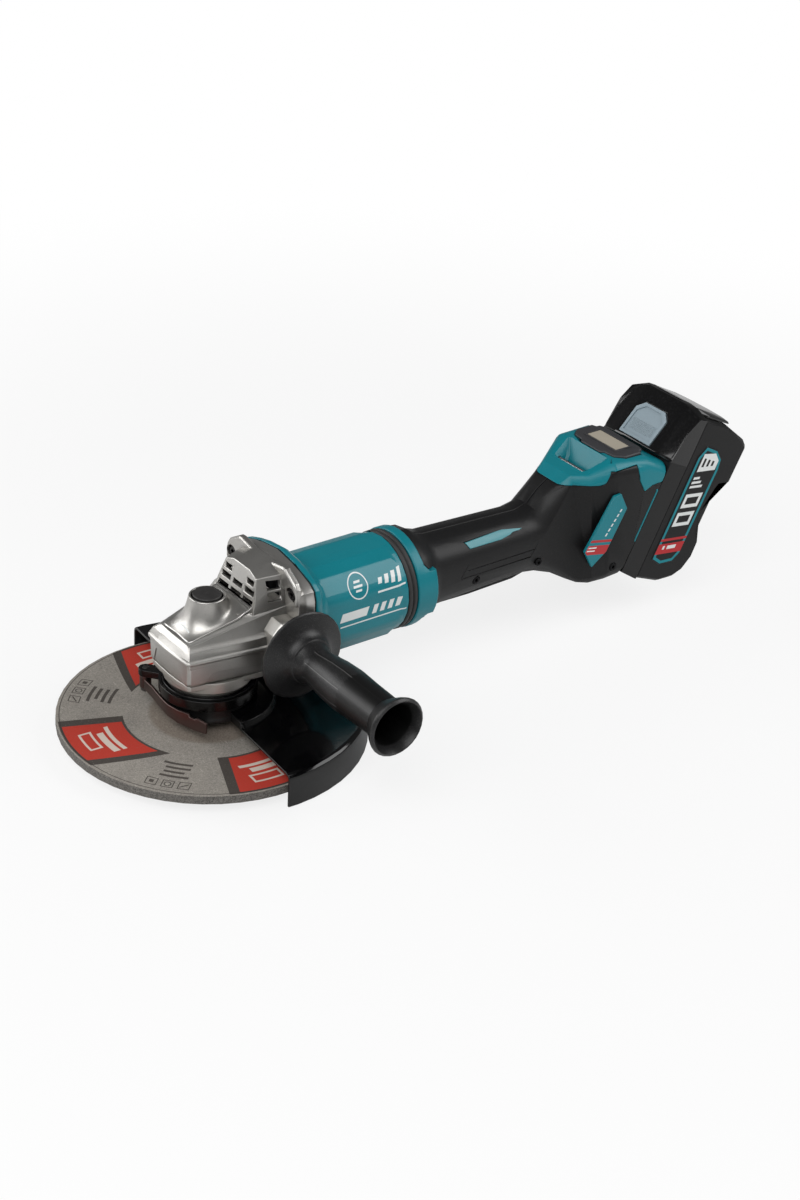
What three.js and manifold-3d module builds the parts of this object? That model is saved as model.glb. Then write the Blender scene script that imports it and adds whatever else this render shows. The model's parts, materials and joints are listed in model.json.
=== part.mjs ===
// Large cordless angle grinder: cast gear case, brushless motor, paddle grip, sliding battery.
// Millimetres. The origin is the centre of the spindle's end face, +Z is up along the spindle,
// +X runs from the gear case towards the battery, and the side handle points along -Y.
import * as THREE from 'three';
import { mergeVertices } from 'three/addons/utils/BufferGeometryUtils.js';
import Module from 'manifold-3d';

// ---------------------------------------------------------------- driving dimensions
const GAP = 0.3; // between pieces that touch
const AXIS_Z = 73.7; // motor axis above the spindle end

const DISC = { radius: 115, thickness: 7.2, rimTop: 5, hubRadius: 30, hubRise: 5, bore: 11.2, brim: 40 };
const SPINDLE = {
  thread: 7, body: 8.5, gearSeat: 7.4, top: 5, shoulder: 17.3, gearFrom: 56, topFrom: 68, height: 87,
};
const NUT = { radius: 20, from: -1, height: 4.7, holeRadius: 2.4, holeCircle: 15 };
const INNER_FLANGE = { radius: 22.5, from: 10.3, to: 17, relief: 14 };

const GUARD = {
  segments: 52, radius: DISC.radius + 8, wall: 2, plateTop: 18, skirtLow: -9.5, edgeTurn: 4, edgeRound: 5,
  hubRadius: 52, frontHub: 36.4, hubRise: 4.5, collarInner: 31.8, collarWall: 3.2, collarTop: 37.5,
};
const BAND = { wall: 2.4, from: 23.6, to: 36, earLow: 29.4, earWidth: 11, slit: 5 };
const LEVER = { wall: 2.1, eye: 4.6, eyeLow: 18.5 };
const PIVOT = { x: -32, y: 38, radius: 2.4, headRadius: 3.8 };

const BEARING_BOX = {
  seat: 31.3, flange: 34.5, low: 19.5, seatTop: 40, plateLow: 45.2, top: 50.2, bore: 12.5, plateEnd: 26,
};
const LOWER_BEARING = { inner: 8.8, outer: 17.5, from: 38.3, to: 49.5 };
const UPPER_BEARING = {
  inner: SPINDLE.top + GAP, outer: 9, from: SPINDLE.height - 8, to: SPINDLE.height + 0.5,
};

const GEARS = { pinionTeeth: 8, ringTeeth: 33, cone: 28, face: 10, addendum: 0.7, dedendum: 1, share: 0.4 };
const SHAFT = { radius: 6, nose: 2.6, from: 21.3, to: 157 };
const FRONT_BEARING = { inner: 6.3, outer: 13, from: 31, to: 41 };
const REAR_BEARING = { inner: 6.3, outer: 12.5, from: 146.5, to: 155 };
const ROTOR = { radius: 24.2, from: 74, to: 134 };
const STATOR = { inner: 25, outer: 34.6, from: 72, to: 137, slots: 6 };
const FAN = { radius: 39, hub: 12, from: 53.6, to: 64.6, plate: 2, blades: 11 };

const SEAM_X = 61; // joint of gear case and motor housing
const GASKET = 0.8;
const CASE_END = SEAM_X - GASKET / 2 - GAP;
const HOUSING_START = SEAM_X + GASKET / 2 + GAP;
const BARREL = { inner: 34.9, end: 158, halfWidth: 38.2, panelHigh: 14, panelLow: -13, flat: 13 };
const DAMPER = { from: 158.3, to: 166.7, radius: 40.3, inner: 30.5 };
const COLLAR = { from: 167, ringTo: 175.5, sideTo: 186, outer: 41, inner: 35, sideHalf: 19 };

const GEAR_ROOM = { radius: 30.4, top: 76.5 };
const FAN_ROOM = FAN.radius + 4;
const DECK = { noseX: -31.3, noseZ: 82.4, rearX: 20, rearZ: 97.4 };
const LEDGE = { low: 50.5, top: 72.2, noseX: -38.2, cornerX: -36, cornerY: 28.8 };
const LOCK_BOSS = {
  x: -2, footFront: 26, footSide: 21, footRear: 17, top: 13.8, topZ: 106.2, pocket: 11.7, pocketDepth: 7,
  flare: 1.7, pinX: -11.4, pinRadius: 2,
};
const LOCK_BUTTON = { radius: 11.1, flatX: 9.8, top: LOCK_BOSS.topZ + 3, pinTip: 69.5 };
const FLANGE_PLATE = { from: 47.5, seat: 51.5 };
const FLANGE_SCREW = { y: 39.5, high: 38.3, low: -36, radius: 3, length: 12, head: 5, headRoom: 6 };

const HANDLE = {
  x: 45.2, z: 70.1, padOuter: 51.4, flangeY: 54.6, flangeRadius: 35.6, waist: 14.2, belly: 17.6,
  flare: 23.6, endY: 177.6, cupRadius: 16.4, cupDepth: 62, boltRadius: 6.8, boltIn: 17,
};

const GRIP_WALL = 3;
const BATTERY_TILT = 25.4; // slide axis, degrees from vertical
const BATTERY_SEAT = { x: 396.5, z: 26 }; // foot of the case seam, where the battery frame starts
const BATTERY = { halfWidth: 42, length: 146.4, waist: 49.6, wall: 2.6, front: -20.8 };
const TOOL_FACE = -21.4; // rear plane of the handle shells in the battery frame
const RAIL = { y: 29, width: 4.5, reach: 9, lip: 3.2, head: 3, from: 10, to: 84 };

const PADDLE = { pivotX: 298, pivotZ: 51.5, front: 209, halfWidth: 11.5, low: 42.6, wall: 3 };

const ROUND = 28; // facets of a large round
const SMALL_ROUND = 14;

// ---------------------------------------------------------------- materials
function finish(color, roughness, metalness) {
  return new THREE.MeshStandardMaterial({ color, roughness, metalness });
}
const CAST = finish(0xb4b2ac, 0.38, 0.9);
const STEEL = finish(0xa9abae, 0.3, 1);
const DARK_STEEL = finish(0x3a3a3c, 0.4, 0.9);
const BLACK_STEEL = finish(0x121214, 0.25, 0.6);
const TEAL = finish(0x0b7f88, 0.38, 0);
const BLACK = finish(0x1c1c1e, 0.55, 0);
const GREY = finish(0x3c3e42, 0.5, 0);
const GLOSS_BLACK = finish(0x0b0b0d, 0.12, 0);
const RUBBER = finish(0x202022, 0.7, 0);
const ABRASIVE = finish(0x8c8a84, 0.9, 0);
const COPPER = finish(0xb8713f, 0.35, 1);
const BUTTON_BLUE = finish(0x7f95a3, 0.45, 0);
const WINDOW = finish(0xb3a68c, 0.4, 0);

// ---------------------------------------------------------------- solids
const wasm = await Module();
wasm.setup();

function withoutSlivers(index) {
  const kept = [];
  for (let i = 0; i < index.length; i += 3) {
    const [a, b, c] = [index[i], index[i + 1], index[i + 2]];
    if (a !== b && b !== c && c !== a) kept.push(a, b, c);
  }
  return kept;
}

function signedVolume(position, index) {
  const a = new THREE.Vector3();
  const b = new THREE.Vector3();
  const c = new THREE.Vector3();
  let volume = 0;
  for (let i = 0; i < index.length; i += 3) {
    a.fromBufferAttribute(position, index[i]);
    b.fromBufferAttribute(position, index[i + 1]);
    c.fromBufferAttribute(position, index[i + 2]);
    volume += a.dot(b.cross(c));
  }
  return volume;
}

// One closed body with shared vertices and its faces pointing out.
function toSolid(geometry) {
  const bare = geometry.clone();
  bare.deleteAttribute('normal');
  bare.deleteAttribute('uv');
  const merged = mergeVertices(bare, 1e-4);
  const index = withoutSlivers(Array.from(merged.index.array));
  if (signedVolume(merged.attributes.position, index) < 0) index.reverse();
  return new wasm.Manifold(new wasm.Mesh({
    numProp: 3,
    vertProperties: Float32Array.from(merged.attributes.position.array),
    triVerts: Uint32Array.from(index),
  }));
}

function toGeometry(body) {
  const mesh = body.getMesh();
  const geometry = new THREE.BufferGeometry();
  const corners = new Float32Array(mesh.numVert * 3);
  for (let i = 0; i < mesh.numVert; i += 1) {
    for (let k = 0; k < 3; k += 1) corners[3 * i + k] = mesh.vertProperties[mesh.numProp * i + k];
  }
  geometry.setAttribute('position', new THREE.BufferAttribute(corners, 3));
  geometry.setIndex(Array.from(mesh.triVerts));
  return geometry;
}

function join(...geometries) {
  return toGeometry(geometries.map(toSolid).reduce((sum, body) => sum.add(body)));
}

function cut(base, ...tools) {
  return toGeometry(tools.map(toSolid).reduce((rest, tool) => rest.subtract(tool), toSolid(base)));
}

function common(first, second) {
  return toGeometry(toSolid(first).intersect(toSolid(second)));
}

// The same shape on the other side of the XZ plane.
function mirrored(geometry) {
  return toGeometry(toSolid(geometry.scale(1, -1, 1)));
}

// ---------------------------------------------------------------- shape makers
function box(x0, x1, y0, y1, z0, z1) {
  const geometry = new THREE.BoxGeometry(x1 - x0, y1 - y0, z1 - z0);
  return geometry.translate((x0 + x1) / 2, (y0 + y1) / 2, (z0 + z1) / 2);
}

function outline(points) {
  return new THREE.Shape(points.map(([x, y]) => new THREE.Vector2(x, y)));
}

// The same corners moved out by one distance on every side.
function grown(points, distance) {
  const turn = Math.sign(THREE.ShapeUtils.area(points.map(([x, y]) => new THREE.Vector2(x, y))));
  return points.map(([x, y], i) => {
    const [px, py] = points[(i + points.length - 1) % points.length];
    const [nx, ny] = points[(i + 1) % points.length];
    const before = new THREE.Vector2(y - py, px - x).normalize();
    const after = new THREE.Vector2(ny - y, x - nx).normalize();
    const mitre = before.add(after);
    const share = (2 * turn * distance) / mitre.lengthSq();
    return [x + mitre.x * share, y + mitre.y * share];
  });
}

function slab(shape, depth) {
  return new THREE.ExtrudeGeometry(shape, { depth, bevelEnabled: false, curveSegments: 10 });
}

// Revolved about Z: each point is [radius, z].
function turned(points, segments = ROUND) {
  const profile = points.map(([radius, z]) => new THREE.Vector2(radius, z));
  return new THREE.LatheGeometry(profile, segments).rotateX(Math.PI / 2);
}

// A ring about Z: the profile closes on itself.
function ring(inner, outer, low, high, segments = ROUND) {
  return turned([[inner, low], [outer, low], [outer, high], [inner, high], [inner, low]], segments);
}

function rod(radius, low, high, segments = ROUND) {
  return turned([[0, low], [radius, low], [radius, high], [0, high]], segments);
}

// Turns a solid made about Z so that it lies along the motor axis.
function alongMotor(geometry) {
  return geometry.rotateY(Math.PI / 2).translate(0, 0, AXIS_Z);
}

// Turns a solid made about Z so that its +Z points along -Y.
function alongHandle(geometry) {
  return geometry.rotateX(Math.PI / 2).translate(HANDLE.x, 0, HANDLE.z);
}

// A profile drawn in the XZ plane and carried across Y.
function acrossY(points, y0, y1) {
  return slab(outline(points), y1 - y0).rotateX(Math.PI / 2).translate(0, y1, 0);
}

// Skins through rings of equal point count; open ends are closed with a fan.
function loft(rings, looped = false) {
  const count = rings[0].length;
  const points = rings.flat();
  const index = [];
  const steps = looped ? rings.length : rings.length - 1;
  for (let i = 0; i < steps; i += 1) {
    const a = i * count;
    const b = ((i + 1) % rings.length) * count;
    for (let j = 0; j < count; j += 1) {
      const k = (j + 1) % count;
      index.push(a + j, a + k, b + k, a + j, b + k, b + j);
    }
  }
  if (!looped) {
    for (const start of [0, (rings.length - 1) * count]) {
      const middle = new THREE.Vector3();
      for (let j = 0; j < count; j += 1) middle.addScaledVector(points[start + j], 1 / count);
      points.push(middle);
      for (let j = 0; j < count; j += 1) {
        const k = (j + 1) % count;
        const [p, q] = start === 0 ? [start + k, start + j] : [start + j, start + k];
        index.push(points.length - 1, p, q);
      }
    }
  }
  const geometry = new THREE.BufferGeometry().setFromPoints(points);
  geometry.setIndex(index);
  return geometry;
}

// A rectangle with round corners as [across, up] pairs, from half width, heights and corner radius.
function roundedSection(half, up, down, radius, steps = 5) {
  const corners = [
    [half - radius, up - radius, 0], [radius - half, up - radius, 90],
    [radius - half, radius - down, 180], [half - radius, radius - down, 270],
  ];
  return corners.flatMap(([y, z, start]) => Array.from({ length: steps + 1 }, (_, i) => {
    const angle = THREE.MathUtils.degToRad(start + (90 * i) / steps);
    return [y + radius * Math.cos(angle), z + radius * Math.sin(angle)];
  }));
}

function stationRing(x, section) {
  return section.map(([y, z]) => new THREE.Vector3(x, y, AXIS_Z + z));
}

const model = new THREE.Group();

function piece(name, geometry, material, parent = model) {
  const mesh = new THREE.Mesh(geometry, material);
  mesh.name = name;
  parent.add(mesh);
  return mesh;
}

function screw(name, headRadius, headHeight, shankRadius, shankLength, material = BLACK_STEEL) {
  const body = turned([
    [0, -shankLength], [shankRadius, -shankLength], [shankRadius, 0], [headRadius, 0],
    [headRadius, headHeight * 0.7], [headRadius * 0.82, headHeight], [0, headHeight],
  ], 12);
  const socket = rod(headRadius * 0.45, headHeight * 0.35, headHeight + 1, 6);
  return piece(name, cut(body, socket), material);
}

// ---------------------------------------------------------------- spindle group
const RIM_LOW = DISC.rimTop - DISC.thickness;
const HUB_TOP = DISC.rimTop + DISC.hubRise;
const HUB_LOW = HUB_TOP - 6;

piece('spindle', turned([
  [0, 0], [SPINDLE.thread - 1, 0], [SPINDLE.thread, 1], [SPINDLE.thread, SPINDLE.shoulder],
  [SPINDLE.body, SPINDLE.shoulder], [SPINDLE.body, SPINDLE.gearFrom],
  [SPINDLE.gearSeat, SPINDLE.gearFrom], [SPINDLE.gearSeat, SPINDLE.topFrom],
  [SPINDLE.top, SPINDLE.topFrom], [SPINDLE.top, SPINDLE.height - 1],
  [SPINDLE.top - 1, SPINDLE.height], [0, SPINDLE.height],
], SMALL_ROUND), STEEL);

piece('grinding_disc', turned([
  [DISC.bore, HUB_LOW], [DISC.hubRadius - 4, HUB_LOW], [DISC.brim - 2, RIM_LOW],
  [DISC.radius, RIM_LOW], [DISC.radius, DISC.rimTop], [DISC.brim + 2, DISC.rimTop],
  [DISC.hubRadius, HUB_TOP], [DISC.bore, HUB_TOP], [DISC.bore, HUB_LOW],
], 52), ABRASIVE);

piece('inner_flange', turned([
  [SPINDLE.thread + GAP, INNER_FLANGE.from - 4], [DISC.bore - GAP, INNER_FLANGE.from - 4],
  [DISC.bore - GAP, INNER_FLANGE.from], [INNER_FLANGE.radius, INNER_FLANGE.from],
  [INNER_FLANGE.radius, INNER_FLANGE.to - 3], [INNER_FLANGE.relief, INNER_FLANGE.to],
  [SPINDLE.thread + GAP, INNER_FLANGE.to], [SPINDLE.thread + GAP, INNER_FLANGE.from - 4],
]), DARK_STEEL);

function lockNut() {
  const top = NUT.from + NUT.height;
  const body = turned([
    [SPINDLE.thread + GAP, NUT.from], [NUT.radius - 2, NUT.from], [NUT.radius, NUT.from + 2],
    [NUT.radius, top], [SPINDLE.thread + GAP, top], [SPINDLE.thread + GAP, NUT.from],
  ], 24);
  const holes = [0, 90, 180, 270].map((turn) => {
    const angle = THREE.MathUtils.degToRad(turn);
    return rod(NUT.holeRadius, NUT.from - 1, top + 1, 8)
      .translate(NUT.holeCircle * Math.cos(angle), NUT.holeCircle * Math.sin(angle), 0);
  });
  return cut(body, ...holes);
}
piece('lock_nut', lockNut(), DARK_STEEL);

// Straight bevel pair with a common cone apex where the two axes cross.
const PINION_ANGLE = Math.atan(GEARS.pinionTeeth / GEARS.ringTeeth);
const INNER_SHARE = (GEARS.cone - GEARS.face) / GEARS.cone;
const TOOTH_MODULE = (2 * GEARS.cone * Math.sin(PINION_ANGLE)) / GEARS.pinionTeeth;
const APEX = new THREE.Vector3(0, 0, AXIS_Z);

// Four corners for each tooth: turn about the axis and height over the pitch line.
function toothCorners(teeth, phase) {
  const pitch = (2 * Math.PI) / teeth;
  const low = -GEARS.dedendum * TOOTH_MODULE;
  const high = GEARS.addendum * TOOTH_MODULE;
  const foot = GEARS.share * 1.5;
  const tip = GEARS.share * 0.5;
  return Array.from({ length: teeth }, (_, i) => [
    [-foot / 2, low], [-tip / 2, high], [tip / 2, high], [foot / 2, low],
  ].map(([share, height]) => [(i + phase + share) * pitch, height])).flat();
}

function pinionGeometry() {
  const radius = GEARS.cone * Math.sin(PINION_ANGLE);
  const x = GEARS.cone * Math.cos(PINION_ANGLE);
  const outer = toothCorners(GEARS.pinionTeeth, 0).map(([turn, height]) => new THREE.Vector3(
    x, (radius + height) * Math.sin(turn), AXIS_Z - (radius + height) * Math.cos(turn),
  ));
  const inner = outer.map((point) => point.clone().sub(APEX).multiplyScalar(INNER_SHARE).add(APEX));
  const bore = alongMotor(rod(SHAFT.nose + GAP, SHAFT.from - GAP, 60, SMALL_ROUND));
  return cut(loft([inner, outer]), bore);
}

function ringGearGeometry() {
  const radius = GEARS.cone * Math.cos(PINION_ANGLE);
  const pitchZ = AXIS_Z - GEARS.cone * Math.sin(PINION_ANGLE);
  const outer = toothCorners(GEARS.ringTeeth, 0.5).map(([turn, height]) => new THREE.Vector3(
    radius * Math.cos(turn), radius * Math.sin(turn), pitchZ + height,
  ));
  const inner = outer.map((point) => point.clone().sub(APEX).multiplyScalar(INNER_SHARE).add(APEX));
  const low = SPINDLE.gearFrom + 1;
  const under = (points) => points.map((point) => new THREE.Vector3(point.x, point.y, low));
  const teeth = loft([under(outer), outer, inner, under(inner)], true);
  const hubTop = SPINDLE.topFrom - 1;
  const web = ring(SPINDLE.gearSeat + GAP, radius * INNER_SHARE + 1.5, low, hubTop - 4.5);
  const hub = ring(SPINDLE.gearSeat + GAP, SPINDLE.gearSeat + 3, low, hubTop);
  const holes = [0, 90, 180, 270].map((turn) => rod(LOCK_BOSS.pinRadius + 0.6, low - 1, hubTop + 5, 8)
    .translate(LOCK_BOSS.pinX, 0, 0).rotateZ(THREE.MathUtils.degToRad(turn)));
  return cut(join(teeth, web, hub), ...holes);
}
piece('ring_gear', ringGearGeometry(), STEEL);

// ---------------------------------------------------------------- rotor group
piece('pinion', pinionGeometry(), STEEL);

piece('rotor_shaft', alongMotor(turned([
  [0, SHAFT.from], [SHAFT.nose, SHAFT.from], [SHAFT.nose, FRONT_BEARING.from - 2],
  [SHAFT.radius, FRONT_BEARING.from - 2], [SHAFT.radius, SHAFT.to - 0.5],
  [SHAFT.radius - 0.5, SHAFT.to], [0, SHAFT.to],
], SMALL_ROUND)), STEEL);

piece('rotor_core', alongMotor(ring(SHAFT.radius + GAP, ROTOR.radius, ROTOR.from, ROTOR.to)), DARK_STEEL);

function fanGeometry() {
  const plate = turned([
    [SHAFT.radius + GAP, FAN.from], [FAN.hub, FAN.from], [FAN.hub + 3, FAN.to - FAN.plate - 1],
    [FAN.radius, FAN.to - FAN.plate], [FAN.radius, FAN.to], [SHAFT.radius + GAP, FAN.to],
    [SHAFT.radius + GAP, FAN.from],
  ]);
  const blades = Array.from({ length: FAN.blades }, (_, i) => {
    const blade = box(FAN.hub + 4, FAN.radius - 0.6, -0.8, 0.8, FAN.from + 1, FAN.to - 1);
    return blade.rotateZ((2 * Math.PI * i) / FAN.blades);
  });
  return alongMotor(join(plate, ...blades));
}
piece('fan', fanGeometry(), GREY);

// ---------------------------------------------------------------- bearings
function bearing(name, size, motor) {
  const edge = 0.6;
  const body = turned([
    [size.inner, size.from], [size.outer - edge, size.from], [size.outer, size.from + edge],
    [size.outer, size.to - edge], [size.outer - edge, size.to], [size.inner, size.to],
    [size.inner, size.from],
  ], SMALL_ROUND);
  piece(name, motor ? alongMotor(body) : body, STEEL);
}
bearing('spindle_bearing_lower', LOWER_BEARING, false);
bearing('spindle_bearing_upper', UPPER_BEARING, false);
bearing('rotor_bearing_front', FRONT_BEARING, true);
bearing('rotor_bearing_rear', REAR_BEARING, true);

// ---------------------------------------------------------------- bearing box
// Plan of the case at one height: a slightly bowed nose and sides that open towards the motor.
function casePlan(inset, z) {
  const half = [
    [LEDGE.noseX + inset, 0], [LEDGE.noseX + 0.5 + inset, 14],
    [LEDGE.cornerX - 0.6 + inset, LEDGE.cornerY - 2 - inset],
    [LEDGE.cornerX + 1.4 + inset, LEDGE.cornerY - inset],
    [20, 37.2 - inset], [FLANGE_PLATE.from + 2, 40 - inset],
  ];
  const mirror = half.slice(1).reverse().map(([x, y]) => [x, -y]);
  return [...half, ...mirror].map(([x, y]) => new THREE.Vector3(x, y, z));
}

function bearingBox() {
  const { seat, flange, low, seatTop, plateLow, top, bore, plateEnd } = BEARING_BOX;
  const round = turned([
    [bore, low], [seat - 1, low], [seat, low + 1], [seat, seatTop], [flange - 1.2, seatTop],
    [flange, seatTop + 1.2], [flange, top], [bore, top], [bore, low],
  ]);
  const plate = common(
    loft([casePlan(3.6, plateLow), casePlan(2.8, plateLow + 0.8), casePlan(2.8, top)]),
    box(-SEAM_X, plateEnd, -SEAM_X, SEAM_X, 0, top + 1),
  );
  const seatBore = rod(LOWER_BEARING.outer + GAP, LOWER_BEARING.from - GAP, top + 1);
  return cut(join(round, plate), seatBore, rod(bore, 0, top + 1));
}
piece('bearing_box', bearingBox(), CAST);

// ---------------------------------------------------------------- gear case
// The faceted hood over the gears: each row runs round the case, from the ledge up to the deck.
function hoodRow(front, quarter, corner, side, rear) {
  const mirror = [rear, side, corner, quarter].map(([x, y, z]) => [x, -y, z]);
  return [front, quarter, corner, side, rear, ...mirror].map(([x, y, z]) => new THREE.Vector3(x, y, z));
}

function hoodGeometry() {
  const end = FLANGE_PLATE.from + 2;
  const { noseX, noseZ, rearX, rearZ } = DECK;
  return loft([
    hoodRow([-36.8, 0, 66], [-36.3, 14, 66], [-34.6, 27.4, 66], [20, 35.8, 66], [end, 38.6, 66]),
    hoodRow([-36.8, 0, 73.4], [-36.3, 14, 73.4], [-34.6, 27.4, 73.4], [20, 35.8, 73.8], [end, 38.6, 74]),
    hoodRow([-34.4, 0, 78.4], [-34, 13, 78.2], [-33, 25.4, 77.6], [rearX, 35.2, 80.2], [end, 38, 81.5]),
    hoodRow([-33.9, 0, 79.2], [-33.5, 12.5, 79], [-32.2, 23.8, 78.4], [rearX, 32.2, 83.4], [end, 35.4, 86.5]),
    hoodRow([noseX - 0.8, 0, noseZ - 1], [noseX - 0.4, 11.5, noseZ - 1.1], [-30.9, 20.8, 81],
      [rearX, 28.6, 93.6], [end, 31.5, 99]),
    hoodRow([noseX, 0, noseZ], [noseX + 0.4, 10.5, noseZ - 0.1], [-30, 18.6, 82],
      [rearX, 24.6, rearZ - 0.9], [end, 27.5, 103]),
  ]);
}

// Height of the sloping deck at one place along the tool.
function deckHeight(x) {
  return THREE.MathUtils.mapLinear(x, DECK.noseX, DECK.rearX, DECK.noseZ, DECK.rearZ);
}

// The deck's stations from the nose to the flange: place, half width and height of its crown.
const CROWN = [[-28.4, 17.6, 0.2], [-4, 20, 1.3], [20, 23.4, 2.4], [FLANGE_PLATE.from, 25.6, 2.8]];

function deckCrown() {
  return loft(CROWN.map(([x, half, rise]) => {
    const base = deckHeight(x) - 0.5;
    const side = [[half, base], [half * 0.72, base + rise * 0.5], [half * 0.38, base + rise * 0.88]];
    const rows = [[0, base - 4], [half, base - 4], ...side, [0, base + rise]];
    const mirror = rows.slice(1, -1).reverse().map(([y, z]) => [-y, z]);
    return [...rows, ...mirror].map(([y, z]) => new THREE.Vector3(x, y, z));
  }));
}

// The boss flares out of the deck: its foot lies in the sloping plane, its top is level.
function lockBossGeometry() {
  const { x, footFront, footSide, footRear, top, topZ } = LOCK_BOSS;
  const facets = 24;
  const steps = 7;
  const ringAt = (radiusAt, heightAt) => Array.from({ length: facets }, (_, i) => {
    const angle = (2 * Math.PI * i) / facets;
    const along = Math.cos(angle);
    const foot = THREE.MathUtils.lerp(footSide, along < 0 ? footFront : footRear, along * along);
    const radius = radiusAt(foot);
    const height = heightAt(deckHeight(x + foot * along));
    return new THREE.Vector3(x + radius * along, radius * Math.sin(angle), height);
  });
  const flare = Array.from({ length: steps + 1 }, (_, i) => {
    const climb = (i / steps) ** LOCK_BOSS.flare;
    return ringAt(
      (foot) => THREE.MathUtils.lerp(foot, top, i / steps),
      (deck) => THREE.MathUtils.lerp(deck - 0.4, topZ - 1, climb),
    );
  });
  const root = ringAt((foot) => foot, (deck) => deck - 6);
  return loft([root, ...flare, ringAt(() => top - 1, () => topZ)]);
}

// Air outlet hump between the deck and the flange, with its leaning front face.
function humpRing(rows) {
  const mirror = rows.slice(1).reverse().map(([x, y, z]) => [x, -y, z]);
  return [...rows, ...mirror].map(([x, y, z]) => new THREE.Vector3(x, y, z));
}

const HUMP = { low: 92, waist: 104, frontTop: 125, rearTop: 128.6 };

function humpGeometry(inset) {
  const front = humpRing([
    [28.3 + inset, 0, HUMP.frontTop - inset], [28.3 + inset, 10.5 - inset / 2, HUMP.frontTop - inset],
    [27.4 + inset, 20.3 - inset, HUMP.frontTop - 3.4 - inset], [23.4 + inset, 25.6 - inset, HUMP.waist],
    [20.4 + inset, 26.6 - inset, HUMP.low],
  ]);
  const x = FLANGE_PLATE.from + 2 + inset;
  const rear = humpRing([
    [x, 0, HUMP.rearTop - inset], [x, 12 - inset / 2, HUMP.rearTop - 0.4 - inset],
    [x, 27 - inset, HUMP.rearTop - 5 - inset], [x, 31 - inset, HUMP.waist], [x, 32 - inset, HUMP.low],
  ]);
  return loft([front, rear]);
}

// The leaning face runs out into the deck in a hollow curve.
function humpFoot() {
  return acrossY([
    [26, HUMP.low], [26, 103], [22.9, 102.2], [21.2, 100.2], [18.6, 98.6], [14.8, 97.2], [12, HUMP.low],
  ], -24.6, 24.6);
}

// Outline of the bolting flange, from the crown to the floor, for one side.
const FLANGE_SIDE = [
  [0, 55.3], [19, 52.6], [31, 49.6], [43, 45.5], [48.5, 41.5], [51, 34], [51, -24], [47, -33], [37, -41],
  [20, -45.5],
];

function flangeSection(inset) {
  const points = FLANGE_SIDE.map(([y, z]) => {
    const length = Math.hypot(y, z);
    return [(y * (length - inset)) / length, (z * (length - inset)) / length];
  });
  const mirror = points.slice(1).reverse().map(([y, z]) => [-y, z]);
  return [...points, ...mirror];
}

function flangeGeometry() {
  const edge = 1.2;
  return loft([
    stationRing(FLANGE_PLATE.from, flangeSection(3.5)),
    stationRing(FLANGE_PLATE.from + 4, flangeSection(edge)),
    stationRing(FLANGE_PLATE.from + 6, flangeSection(0.4)),
    stationRing(CASE_END, flangeSection(0)),
  ]);
}

// Two raised wings that wrap round the upper flange screws and shield them.
const WING = {
  from: 45.2, thickness: 6.2, chamfer: 1.4,
  side: [
    [9, 118], [9.5, 127], [27.5, 130.4], [31, 130.1], [43.6, 122.4], [46.6, 117.6], [47.6, 105.5],
    [44.6, 104], [42, 113], [30, 112],
  ],
};

function wingGeometry(side) {
  const { from, thickness, chamfer, side: corners } = WING;
  const ringAt = (x, shrink) => grown(corners, -shrink).map(([y, z]) => new THREE.Vector3(x, y, z));
  const wing = loft([
    ringAt(from, chamfer), ringAt(from + chamfer, 0), ringAt(from + thickness - chamfer, 0),
    ringAt(from + thickness, chamfer),
  ]);
  return side > 0 ? wing : mirrored(wing);
}

function handlePad(side) {
  const ringAt = (half, high, cutOff, y) => [
    [half - cutOff, high], [cutOff - half, high], [-half, high - cutOff], [-half, cutOff - high],
    [cutOff - half, -high], [half - cutOff, -high], [half, cutOff - high], [half, high - cutOff],
  ].map(([x, z]) => new THREE.Vector3(Math.min(HANDLE.x + x, CASE_END), side * y, HANDLE.z + z));
  return loft([
    ringAt(18, 23, 8, 30), ringAt(17, 22, 8, HANDLE.padOuter - 9),
    ringAt(14.5, 15.5, 7, HANDLE.padOuter - 0.8), ringAt(13.6, 14.6, 7, HANDLE.padOuter),
  ]);
}

// Rows of air slots through the hump's front face, and two windows in each side.
function ventCutters() {
  const cutters = [];
  const height = 4;
  const rows = [
    { z: 100.3, half: 6.3, places: [-16.2, 0, 16.2] }, { z: 107.7, half: 5.8, places: [-15.4, 0, 15.4] },
    { z: 114.8, half: 4.3, places: [-14.4, 14.4] },
  ];
  for (const { z, half, places } of rows) {
    for (const y of places) cutters.push(box(10, 36, y - half, y + half, z, z + height));
  }
  for (const [low, high] of [[103.5, 110.5], [112.5, 119.5]]) cutters.push(box(34, 44.5, -60, 60, low, high));
  return cutters;
}

// Middles of the four flange screws, from the motor axis.
const SCREW_PLACES = [
  [FLANGE_SCREW.y, FLANGE_SCREW.high], [-FLANGE_SCREW.y, FLANGE_SCREW.high],
  [FLANGE_SCREW.y - 4, FLANGE_SCREW.low], [4 - FLANGE_SCREW.y, FLANGE_SCREW.low],
];

function screwRooms(radius, from, to) {
  return SCREW_PLACES.map(([y, z]) => alongMotor(rod(radius, from, to, 10)).translate(0, y, z));
}

function screwBores() {
  const { seat } = FLANGE_PLATE;
  return screwRooms(FLANGE_SCREW.radius + GAP, seat - 1, seat + FLANGE_SCREW.length + 1);
}

// Skirt of the case below the ledge, or the same body set in by one depth.
function skirtBody(depth) {
  const { low, top } = LEDGE;
  const rows = [[2.4, low], [1.6, low + 2.2], [1.2, top - 3.4], [0, top - 2.2], [0, top], [1.4, top + 1.2]];
  return loft(rows.map(([inset, z]) => casePlan(inset + depth, z)));
}

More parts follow.
